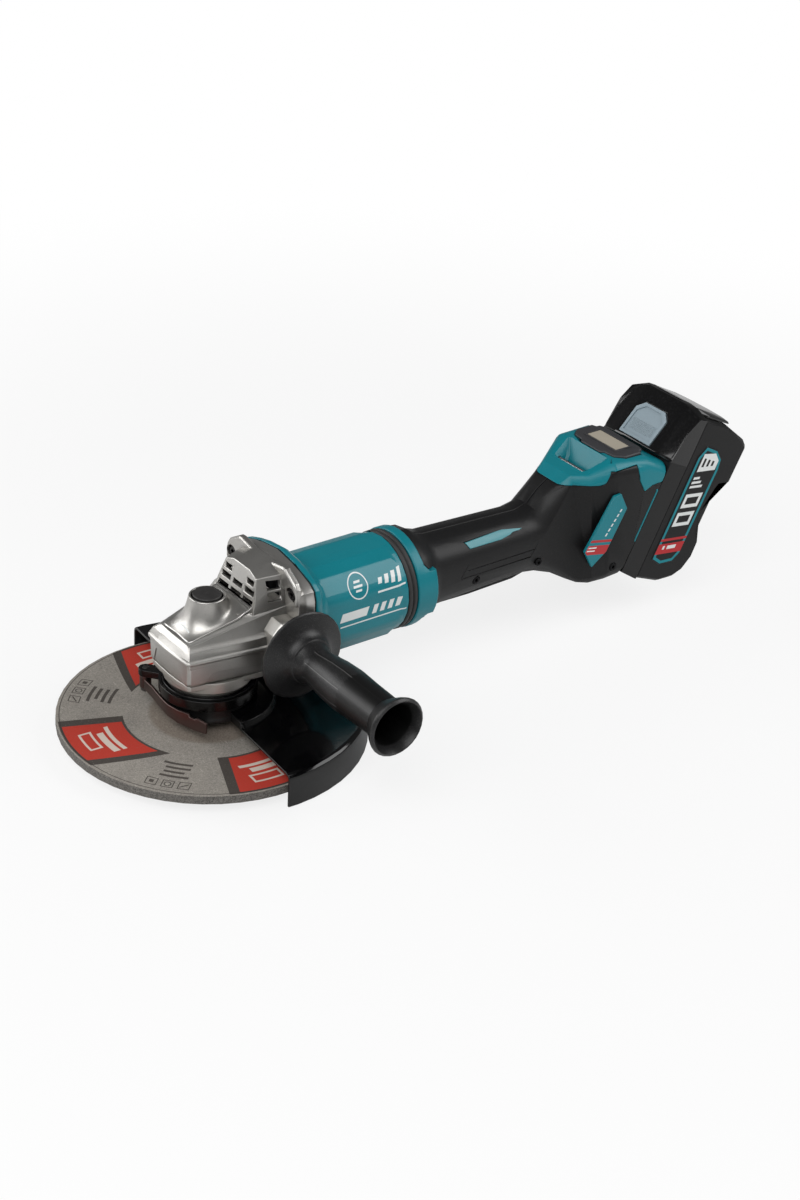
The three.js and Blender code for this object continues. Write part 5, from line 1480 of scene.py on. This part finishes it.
@dataclass
class SubAssembly:
    """Pieces that belong together. Sizes are in millimetres."""

    model: Packed
    rounding: float = 0.6
    solid_length: float = 0.04  # share of its length that a spring always keeps
    pieces: list[bpy.types.Object] = field(default_factory=list)

    def dress(self, piece: bpy.types.Object, like: str, finish: Finish) -> None:
        """Gives a piece its finish and its body.

        Args:
            piece: the piece.
            like: the solid whose body it takes.
            finish: what it is made of.
        """
        piece.data.materials.clear()
        piece.data.materials.append(finish.made())
        body, slot = self.model.bodies[like], self.model.slots[like]
        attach(piece, body)
        self.pieces.append(piece)

    def solid(self, node: str, finish: Finish, rounding: float | None = None,
              edges: Edges = Edges()) -> None:
        """Adds the piece made from one solid.

        Args:
            node: the solid's name.
            finish: what it is made of.
            rounding: radius of its edges; the sub-assembly's own when left out.
            edges: how its edges are found and rounded.
        """
        width = (self.rounding if rounding is None else rounding) * MM
        piece = edges.rounded(self.model.solids[node].data, f"{node}_piece", width)
        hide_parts(node)
        self.dress(piece, node, finish)

    def solids(self, nodes: Iterable[str], finish: Finish, rounding: float | None = None) -> None:
        """Adds several pieces of one finish."""
        for node in nodes:
            self.solid(node, finish, rounding)

    def added(self, name: str, like: str, mesh: bpy.types.Mesh, finish: Finish) -> None:
        """Adds a piece of its own that rides with a solid."""
        self.dress(linked(name, mesh), like, finish)

    def bare(self, node: str, finish: Finish) -> None:
        """Gives a solid its finish and leaves its own mesh as it is.

        Args:
            node: the solid's name.
            finish: what it is made of.
        """
        item = self.model.solids[node]
        item.data.materials.clear()
        item.data.materials.append(finish.made())
        self.pieces.append(item)

    def spring(self, node: str, finish: Finish, press: Press) -> None:
        """Adds an upright coil spring as a piece of its own.

        Args:
            node: the solid's name.
            finish: what it is made of.
            press: not used.
        """
        mesh = self.model.solids[node].data.copy()
        piece = linked(f"{node}_piece", mesh)
        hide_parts(node)
        self.dress(piece, node, finish)
        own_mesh(piece)

    def build(self) -> None:
        """Builds the pieces."""
        raise NotImplementedError


@dataclass
class Wheel(SubAssembly):
    """The grinding disc, its flange and nut, and the spindle."""

    rounding: float = 0.4
    disc_rounding: float = 0.5

    def build(self) -> None:
        """Builds the pieces."""
        self.solid("grinding_disc", DiscFace("printed_abrasive"), self.disc_rounding)
        self.solids(("inner_flange", "lock_nut"), DARK_STEEL)
        self.solid("spindle", STEEL)


@dataclass
class GearHead(SubAssembly):
    """The cast head with its screws, the shaft lock and the gears inside.

    A closed skin lies over the sloping deck, and the lock button's boss flares out of it. The
    case's own boss is drawn in under the skin.
    """

    case_rounding: float = 0.8
    case_angle: float = 24.0
    box_rounding: float = 0.7
    screw_rounding: float = 0.3
    screw_count: int = 4
    gear_rounding: float = 0.2
    bearing_rounding: float = 0.4
    button_rounding: float = 0.8
    button_travel: float = 4.0
    nose: Pair = (-31.3, 82.4)
    rear: Pair = (20.0, 97.4)
    ridge: tuple[Pair, Pair] = ((-28.4, 17.9), (20.0, 23.7))
    skin_span: Pair = (-28.9, 20.6)
    skin_sunk: float = 0.2
    skin_thickness: float = 1.2
    skin_rays: int = 72
    skin_rings: int = 20
    skin_spread: float = 1.5
    crown: Pair = (0.7, 3.1)
    crown_run: float = 9.0
    feet: tuple[Point, ...] = ((14.8, 97.2, 0.37), (18.6, 98.6, 0.62))  # place, height and slope
    foot_lift: float = 0.12
    foot_from: float = 13.5
    boss_at: float = -2.0
    boss_radius: float = 13.9
    rim_inside: float = 12.0
    rim_height: float = 108.0
    rim_drop: float = 0.9
    rim_profile: tuple[Pair, ...] = (
        (0.0, 3.2), (0.0, 0.5), (0.2, 0.08), (0.45, 0.0), (0.75, 0.15), (0.93, 0.45),
    )
    flare_side: float = 1.9
    flare_front: float = 4.6
    flare_rear: float = 2.2
    flare_fade: int = 4
    steep: float = 0.01
    fold_at: float = 24.6
    fold_play: float = 0.1
    fold_span: Pair = (11.5, 23.5)
    fold_top: float = 103.5
    fold_inset: float = 0.4
    cone_play: Pair = (0.2, 0.6)  # inside the boss's wall, and under the deck
    cone_reach: float = 27.0
    cone_half: float = 21.4
    cone_end: float = 15.2
    cone_top: float = 105.2
    cone_inset: float = 0.5
    cone_left: float = 0.1

    def deck(self, x: float) -> float:
        """Height of the sloping deck at one place along the tool."""
        (x0, z0), (x1, z1) = self.nose, self.rear
        return z0 + (x - x0) * (z1 - z0) / (x1 - x0)

    def half(self, x: float) -> float:
        """Half the deck's width at one place along the tool."""
        (x0, y0), (x1, y1) = self.ridge
        return y0 + (x - x0) * (y1 - y0) / (x1 - x0)

    def foot(self, x: float) -> float:
        """Height of the hollow curve that leads up to the leaning face."""
        return max(height + (x - place) * slope for place, height, slope in self.feet) + self.foot_lift

    def reach(self, angle: float) -> float:
        """Finds how far the deck's outline is from the boss's axis.

        Args:
            angle: the direction.

        Returns:
            The distance.
        """
        along, across = math.cos(angle), abs(math.sin(angle))
        slope = (self.ridge[1][1] - self.ridge[0][1]) / (self.ridge[1][0] - self.ridge[0][0])
        ends = []
        if across > slope * along + self.steep:
            ends.append(self.half(self.boss_at) / (across - slope * along))
        if along < -self.steep:
            ends.append((self.skin_span[0] - self.boss_at) / along)
        if along > self.steep:
            ends.append((self.skin_span[1] - self.boss_at) / along)
        return min(ends)

    def ground(self, x: float, y: float) -> float:
        """Finds the skin's height away from the boss.

        Args:
            x: place along the tool.
            y: place across it.

        Returns:
            The height of the crowned deck, or of the hollow curve behind it.
        """
        share = (x - self.nose[0]) / (self.rear[0] - self.nose[0])
        rise = self.crown[0] + (self.crown[1] - self.crown[0]) * share
        rise *= min(1.0, (x - self.skin_span[0]) / self.crown_run)
        ground = self.deck(x) - self.skin_sunk + rise * max(0.0, 1 - (y / self.half(x)) ** 2)
        return max(ground, self.foot(x)) if x > self.foot_from else ground

    def skin_point(self, angle: float, step: float) -> Point:
        """Finds a point of the deck's skin.

        Args:
            angle: direction from the boss's axis.
            step: 0 at the boss's wall, 1 at the deck's outline.

        Returns:
            The point, in metres.
        """
        radius = self.boss_radius + (self.reach(angle) - self.boss_radius) * step ** self.skin_spread
        x, y = self.boss_at + radius * math.cos(angle), radius * math.sin(angle)
        ground = self.ground(x, y)
        end = self.flare_front if math.cos(angle) < 0 else self.flare_rear
        fall = self.flare_side + (end - self.flare_side) * math.cos(angle) ** 2
        climb = math.exp(-(radius - self.boss_radius) / fall) * (1 - step ** self.flare_fade)
        height = ground + (self.rim_height - self.rim_drop - ground) * climb
        return (x * MM, y * MM, height * MM)

    def rim_point(self, angle: float, share: float, drop: float) -> Point:
        """Finds a point of the boss's rim.

        Args:
            angle: direction from the boss's axis.
            share: 0 at the rim's inside, 1 at the boss's wall.
            drop: how far it lies below the top.

        Returns:
            The point, in metres.
        """
        radius = self.rim_inside + (self.boss_radius - self.rim_inside) * share
        x, y = self.boss_at + radius * math.cos(angle), radius * math.sin(angle)
        return (x * MM, y * MM, (self.rim_height - drop) * MM)

    def skin(self) -> bpy.types.Mesh:
        """Makes the deck with the boss flaring out of it.

        Returns:
            A closed shell.
        """
        rays = [2 * math.pi * (step + 0.5) / self.skin_rays for step in range(self.skin_rays)]
        rings = [[self.rim_point(angle, share, drop) for angle in rays] for share, drop in self.rim_profile]
        for ring in range(self.skin_rings + 1):
            rings.append([self.skin_point(angle, ring / self.skin_rings) for angle in rays])
        sunk = [[(x, y, z - self.skin_thickness * MM) for x, y, z in ring] for ring in reversed(rings)]
        return closed_band("deck_skin", rings + sunk)

    def on_fold(self, x: float, y: float, z: float) -> bool:
        """Says whether a point is one of the ends of the hollow curve."""
        low, high = self.fold_span
        return abs(abs(y) - self.fold_at) < self.fold_play and low < x < high and z < self.fold_top

    def on_cone(self, x: float, y: float, z: float) -> bool:
        """Says whether a point belongs to the flare of the case's own boss.

        Args:
            x: place along the tool.
            y: place across it.
            z: height.

        Returns:
            True for a point of the flare.
        """
        inner, under = self.cone_play
        radius = math.hypot(x - self.boss_at, y)
        near = self.boss_radius - inner <= radius <= self.cone_reach
        return near and z >= self.deck(x) - under and abs(y) <= self.cone_half and x <= self.cone_end

    def drawn_in(self, point: Vector) -> Vector:
        """Draws the case's own boss in under the skin, and the ends of the hollow curve into the ridge.

        Args:
            point: a point of the case, in metres.

        Returns:
            Where it goes.
        """
        x, y, z = point / MM
        if self.on_fold(x, y, z):
            return Vector((x, math.copysign(self.half(x) - self.fold_inset, y), z)) * MM
        if not self.on_cone(x, y, z):
            return point
        near = (self.boss_radius - self.cone_inset) / math.hypot(x - self.boss_at, y)
        near += (1 - near) * self.cone_left
        new_x, new_y = self.boss_at + (x - self.boss_at) * near, y * near
        climb = (z - self.deck(x)) / (self.cone_top - self.deck(x))
        height = self.deck(new_x) + climb * (self.cone_top - self.deck(new_x))
        return Vector((new_x, new_y, height)) * MM

    def build(self) -> None:
        """Builds the pieces."""
        alloy = GearCaseMetal("gear_case_alloy")
        self.solid("gear_case", alloy, self.case_rounding, Edges(self.case_angle, drawn=self.drawn_in))
        self.added("deck_skin", "gear_case", self.skin(), alloy)
        self.solid("bearing_box", CastMetal("bearing_box_alloy", "B4B1AB", 0.3), self.box_rounding)
        screws = [f"flange_screw_{place + 1}" for place in range(self.screw_count)]
        self.solids(screws, TurnedMetal("screw_steel", "3B3A39", 0.3), self.screw_rounding)
        button = Moulded("lock_button_plastic", "252424", 0.36, edge_colour="8A8886", wear=0.3)
        self.solid("lock_button", button, self.button_rounding)
        self.spring("lock_spring", STEEL, Press("lock_button_press", self.button_travel, Held.FOOT))
        self.solids(("ring_gear", "pinion"), STEEL, self.gear_rounding)
        bearings = ("spindle_bearing_lower", "spindle_bearing_upper")
        self.solids(bearings, STEEL, self.bearing_rounding)


@dataclass
class WheelGuard(SubAssembly):
    """The guard, its clamp band and the lever."""

    rounding: float = 0.5
    band_rounding: float = 0.4

    def build(self) -> None:
        """Builds the pieces."""
        self.solid("guard", Enamel("guard_enamel"))
        band = Enamel("band_enamel", "060606", "060606", 0.16, 0.2)
        self.solid("guard_band", band, self.band_rounding)
        self.solid("lever_pivot", TurnedMetal("rivet_steel", "6C6B6A", 0.3), self.band_rounding)
        self.solid("guard_lever", TurnedMetal("lever_steel", "6C5B58", 0.22))


@dataclass
class Motor(SubAssembly):
    """The motor housing with its gasket, damping ring and collar, and the motor inside."""

    rounding: float = 0.3
    housing_rounding: float = 1.0
    gasket_rounding: float = 0.2
    collar_rounding: float = 1.2

    def build(self) -> None:
        """Builds the pieces."""
        teal = HousingPlastic("teal_housing", TEAL_COLOUR, 0.26, edge_colour=TEAL_EDGES, coat=0.12, shine=0.4)
        self.solid("motor_housing", teal, self.housing_rounding)
        self.solid("seam_gasket", Moulded("gasket_rubber", "131313", 0.6), self.gasket_rounding)
        rubber = Moulded("damping_rubber", "2B2B2B", 0.5, 0.0007, 0.00009, "5C5B5A")
        self.solid("damping_ring", rubber, self.housing_rounding)
        self.solid("collar", TEAL, self.collar_rounding)
        self.solid("stator", TurnedMetal("copper_wire", "B8713F", 0.3))
        self.solid("rotor_core", DARK_STEEL)
        self.solids(("rotor_shaft", "rotor_bearing_front", "rotor_bearing_rear"), STEEL)
        self.solid("fan", GREY)


@dataclass
class HandleBody(SubAssembly):
    """The two handle shells with their plates, inlays, trims and screws."""

    rounding: float = 0.4
    shell_rounding: float = 0.9
    plate_rounding: float = 0.5
    screw_rounding: float = 0.3
    screw_count: int = 3

    def build(self) -> None:
        """Builds the pieces."""
        shell = Moulded("grip_elastomer", "0F0F10", 0.37, 0.0006, 0.00007, "565554", coat=0.03, shine=0.3)
        self.solids(("handle_shell_left", "handle_shell_right"), shell, self.shell_rounding)
        plate = SidePlatePlastic(
            "side_plate_teal", TEAL_COLOUR, 0.3, edge_colour=TEAL_EDGES, coat=0.05, shine=0.35,
        )
        self.solids(("side_plate_left", "side_plate_right"), plate, self.plate_rounding)
        inlay = InlayPlastic("inlay_teal", "047C87", 0.24, edge_colour="6FC4CA", coat=0.1, shine=0.4)
        self.solids(("grip_inlay_left", "grip_inlay_right"), inlay)
        self.solids(("rear_trim_left", "rear_trim_right"), TEAL)
        screws = [f"shell_screw_{place + 1}" for place in range(self.screw_count)]
        self.solids(screws, TurnedMetal("shell_screw_steel", "232324", 0.36), self.screw_rounding)


@dataclass
class TopCap(SubAssembly):
    """The cap behind the grip with its tether bar and the windowed lid."""

    rounding: float = 0.4
    cap_rounding: float = 1.0
    lid_rounding: float = 0.9

    def build(self) -> None:
        """Builds the pieces."""
        self.solid("top_cap", TEAL, self.cap_rounding)
        self.solid("tether_bar", STEEL)
        lid = Moulded("lid_elastomer", "323235", 0.46, 0.0006, 0.00007, "76757A", wear=0.2)
        self.solid("lid", lid, self.lid_rounding)
        window = Moulded("window_beige", "A79F90", 0.3, 0.0009, 0.00004, "CFC7B8", coat=0.1)
        self.solid("lid_window", window)


@dataclass
class Trigger(SubAssembly):
    """The paddle, its lock-off lever and the electric parts under them."""

    rounding: float = 0.4
    paddle_rounding: float = 0.8
    pin_rounding: float = 0.2
    spring_travel: float = 7.0

    def build(self) -> None:
        """Builds the pieces."""
        self.solid("paddle", BLACK, self.paddle_rounding)
        self.solid("lock_off_lever", GREY)
        self.solid("trigger_switch", BLACK)
        self.solid("controller", GREY)
        self.solid("terminal_block", DARK_STEEL)
        self.solid("paddle_pin", STEEL, self.pin_rounding)
        self.spring("paddle_spring", STEEL, Press("paddle_squeeze", self.spring_travel, Held.TOP))


@dataclass
class SideHandle(SubAssembly):
    """The side handle and its stud."""

    rounding: float = 0.8
    stud_rounding: float = 0.3

    def build(self) -> None:
        """Builds the pieces."""
        grip = FlutedPlastic(
            "side_handle_nylon", "141415", 0.3, 0.0006, 0.00006, "9A9997", wear=0.3, shine=0.42,
        )
        self.solid("side_handle", grip)
        self.solid("side_handle_stud", STEEL, self.stud_rounding)


@dataclass
class BatteryPack(SubAssembly):
    """The sliding battery with its hood and release button.

    The button's ribs are laid out on the hood's leaning face: across the battery, up the face
    and out of it.
    """

    rounding: float = 0.9
    cell_rounding: float = 0.3
    seat: Point = BATTERY_SEAT
    tilt: float = BATTERY_TILT
    face_at: Pair = (-22.4, 121.5)
    face_lean: float = 18.82
    rib_count: int = 8
    rib_pitch: float = 1.3
    rib_lowest: float = -9.0
    rib_half: float = 13.4
    rib_width: float = 0.62
    rib_proud: float = 0.5
    rib_slope: float = 0.14
    rib_sunk: float = 0.1

    def on_face(self, across: float, up: float, proud: float) -> Point:
        """Finds the place of a point of the leaning face.

        Args:
            across: distance from the battery's middle.
            up: distance up the face.
            proud: distance out of it.

        Returns:
            The point, in metres.
        """
        lean, tilt = math.radians(self.face_lean), math.radians(self.tilt)
        out = self.face_at[0] - proud * math.cos(lean) + up * math.sin(lean)
        along = self.face_at[1] + proud * math.sin(lean) + up * math.cos(lean)
        x = self.seat[0] + out * math.cos(tilt) + along * math.sin(tilt)
        z = self.seat[2] - out * math.sin(tilt) + along * math.cos(tilt)
        return (x * MM, across * MM, z * MM)

    def rib(self, middle: float) -> list[list[Point]]:
        """Lays out one rib.

        Args:
            middle: how far up the face it is.

        Returns:
            The corners of its two ends.
        """
        half, top = self.rib_width / 2, self.rib_width / 2 - self.rib_slope
        corners = (
            (middle - half, -self.rib_sunk),
            (middle + half, -self.rib_sunk),
            (middle + top, self.rib_proud),
            (middle - top, self.rib_proud),
        )
        ends = (-self.rib_half, self.rib_half)
        return [[self.on_face(end, up, proud) for up, proud in corners] for end in ends]

    def ribs(self) -> bpy.types.Mesh:
        """Makes the fine ribs across the lower half of the button's dish.

        Returns:
            All the ribs, in one mesh.
        """
        work = bmesh.new()
        for step in range(self.rib_count):
            prism(work, self.rib(self.rib_lowest + self.rib_pitch * step))
        bmesh.ops.recalc_face_normals(work, faces=work.faces)
        mesh = bpy.data.meshes.new("button_ribs")
        work.to_mesh(mesh)
        work.free()
        return mesh

    def build(self) -> None:
        """Builds the pieces."""
        case = BatteryPlastic("battery_case_plastic", "0B0B0C", 0.34, 0.0005, 0.00005, "4C4C4D", shine=0.28)
        self.solid("battery_case", case)
        hood = HoodPlastic(
            "hood_gloss", "060607", 0.07, 0.002, 0.00001, "3C3C3E", wear=0.1, coat=0.3, shine=0.4,
        )
        self.solid("battery_cover", hood, edges=Edges(merged=False))
        button = Moulded("button_grey_blue", "8C9CA5", 0.4, 0.0006, 0.00005, "BCC8CE")
        self.bare("release_button", button)
        self.added("button_ribs", "release_button", self.ribs(), button)
        self.solid("cell_pack", Moulded("cell_wrap", "2E6A8C", 0.4), self.cell_rounding)


# ---------------------------------------------------------------- studio
class SoftBox(NamedTuple):
    """A flat lamp: its name, where it hangs, its width and height in metres, and its watts."""

    name: str
    place: Point
    size: Pair
    power: float

    def hang(self, aim: Point) -> None:
        """Hangs the lamp.

        Args:
            aim: the point that it faces.
        """
        data = bpy.data.lights.new(self.name, "AREA")
        data.shape = "RECTANGLE"
        data.size, data.size_y = self.size
        data.energy = self.power
        lamp = bpy.data.objects.new(self.name, data)
        lamp.location = self.place
        lamp.rotation_euler = (Vector(aim) - Vector(self.place)).to_track_quat("-Z", "Y").to_euler()
        bpy.context.scene.collection.objects.link(lamp)


@dataclass(frozen=True)
class Studio:
    """Camera, floor, world and lamps. Metres and degrees; the lens and its sensor are in millimetres."""

    position: Point = (-0.83505, -1.28307, 0.96684)
    bearing: float = 38.35
    down: float = 29.28
    roll: float = 3.4
    lens: float = 70.87
    sensor: float = 36.0
    sight: float = 50.0
    world_strength: float = 0.13
    floor_size: float = 30.0
    floor_gap: float = 0.0005
    floor_shade: float = 0.82
    floor_light: float = 0.8
    shade_at: float = 0.2
    shade_span: Pair = (0.35, 1.1)  # how far out the floor's shadow starts to fade, and where it is gone
    aim: Point = (0.12, 0, 0.05)
    lamps: tuple[SoftBox, ...] = (
        SoftBox("key", (-1.0, -0.7, 1.5), (1.7, 1.5), 26),
        SoftBox("back", (-1.15, 1.35, 0.75), (1.5, 1.0), 18),
        SoftBox("fill", (1.3, -0.85, 1.15), (1.3, 1.0), 16),
    )

    def turned(self) -> Matrix:
        """Works out how the camera is turned.

        Returns:
            Its axes, as a matrix.
        """
        bearing, down, roll = (math.radians(value) for value in (self.bearing, self.down, self.roll))
        level = math.cos(down)
        ahead = Vector((math.sin(bearing) * level, math.cos(bearing) * level, -math.sin(down)))
        right = Vector((math.cos(bearing), -math.sin(bearing), 0))
        up = right.cross(ahead)
        across = right * math.cos(roll) + up * math.sin(roll)
        over = up * math.cos(roll) - right * math.sin(roll)
        return Matrix((across, over, -ahead)).transposed().to_4x4()

    def camera(self) -> None:
        """Places the camera."""
        data = bpy.data.cameras.new("camera")
        data.lens = self.lens
        data.sensor_width = self.sensor
        data.sensor_fit = "AUTO"
        data.clip_end = self.sight
        camera = bpy.data.objects.new("camera", data)
        camera.matrix_world = Matrix.Translation(self.position) @ self.turned()
        bpy.context.scene.collection.objects.link(camera)
        bpy.context.scene.camera = camera

    def floor(self, low: float) -> None:
        """Lays the pale floor, which the camera sees brighter than it is.

        Args:
            low: the height of the tool's lowest point.
        """
        bpy.ops.mesh.primitive_plane_add(size=self.floor_size, location=(0, 0, low - self.floor_gap))
        floor = bpy.context.object
        floor.name = "floor"
        plan = Plan("pale_floor")
        rays = plan.node("ShaderNodeLightPath")
        seen = Wire(plan, rays.outputs["Is Camera Ray"]).most(Wire(plan, rays.outputs["Is Transmission Ray"]))
        matt = plan.node("ShaderNodeBsdfDiffuse", None, {"Color": (*[self.floor_shade] * 3, 1.0)})
        light = plan.node("ShaderNodeEmission", None, {"Color": ink("FFFFFF"), "Strength": 1.0})
        x, y, _ = plan.axes(plan.place())
        aside = x - self.shade_at
        far = (aside * aside + y * y) ** 0.5
        share = seen * (self.floor_light + far.ramp(*self.shade_span) * (1 - self.floor_light))
        blend = plan.node("ShaderNodeMixShader", None, {0: share, 1: matt.outputs[0], 2: light.outputs[0]})
        floor.data.materials.append(plan.shown(blend))
        floor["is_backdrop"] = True

    def world(self) -> None:
        """Sets the world: dim as a light, white to the camera."""
        world = bpy.data.worlds.new("studio")
        bpy.context.scene.world = world
        world.use_nodes = True
        nodes = Nodes(world.node_tree)
        seen = nodes.number("ShaderNodeLightPath", "Is Camera Ray")
        strength = seen * (1 - self.world_strength) + self.world_strength
        sky = nodes.node("ShaderNodeBackground", None, {"Color": ink("FFFFFF"), "Strength": strength})
        nodes.node("ShaderNodeOutputWorld", None, {"Surface": sky.outputs[0]})

    def light(self) -> None:
        """Sets the world and hangs the lamps."""
        self.world()
        for lamp in self.lamps:
            lamp.hang(self.aim)


KINDS = (Wheel, GearHead, WheelGuard, Motor, HandleBody, TopCap, Trigger, SideHandle, BatteryPack)


def main() -> None:
    """Builds the classes in order and reports each piece."""
    logging.basicConfig(level=logging.INFO, format="%(name)s %(message)s")
    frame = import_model()
    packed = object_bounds()
    scene = bpy.context.scene
    scene.view_settings.view_transform = "Standard"
    studio = Studio()
    studio.camera()
    model = Packed.of(frame)
    for kind in KINDS:
        assembly = kind(model)
        assembly.build()
        for piece in assembly.pieces:
            LOG.info("%s: %s", kind.__name__, piece.name)
    low, high = packed
    studio.floor(low[2])
    studio.light()


if __name__ == "__main__":
    main()
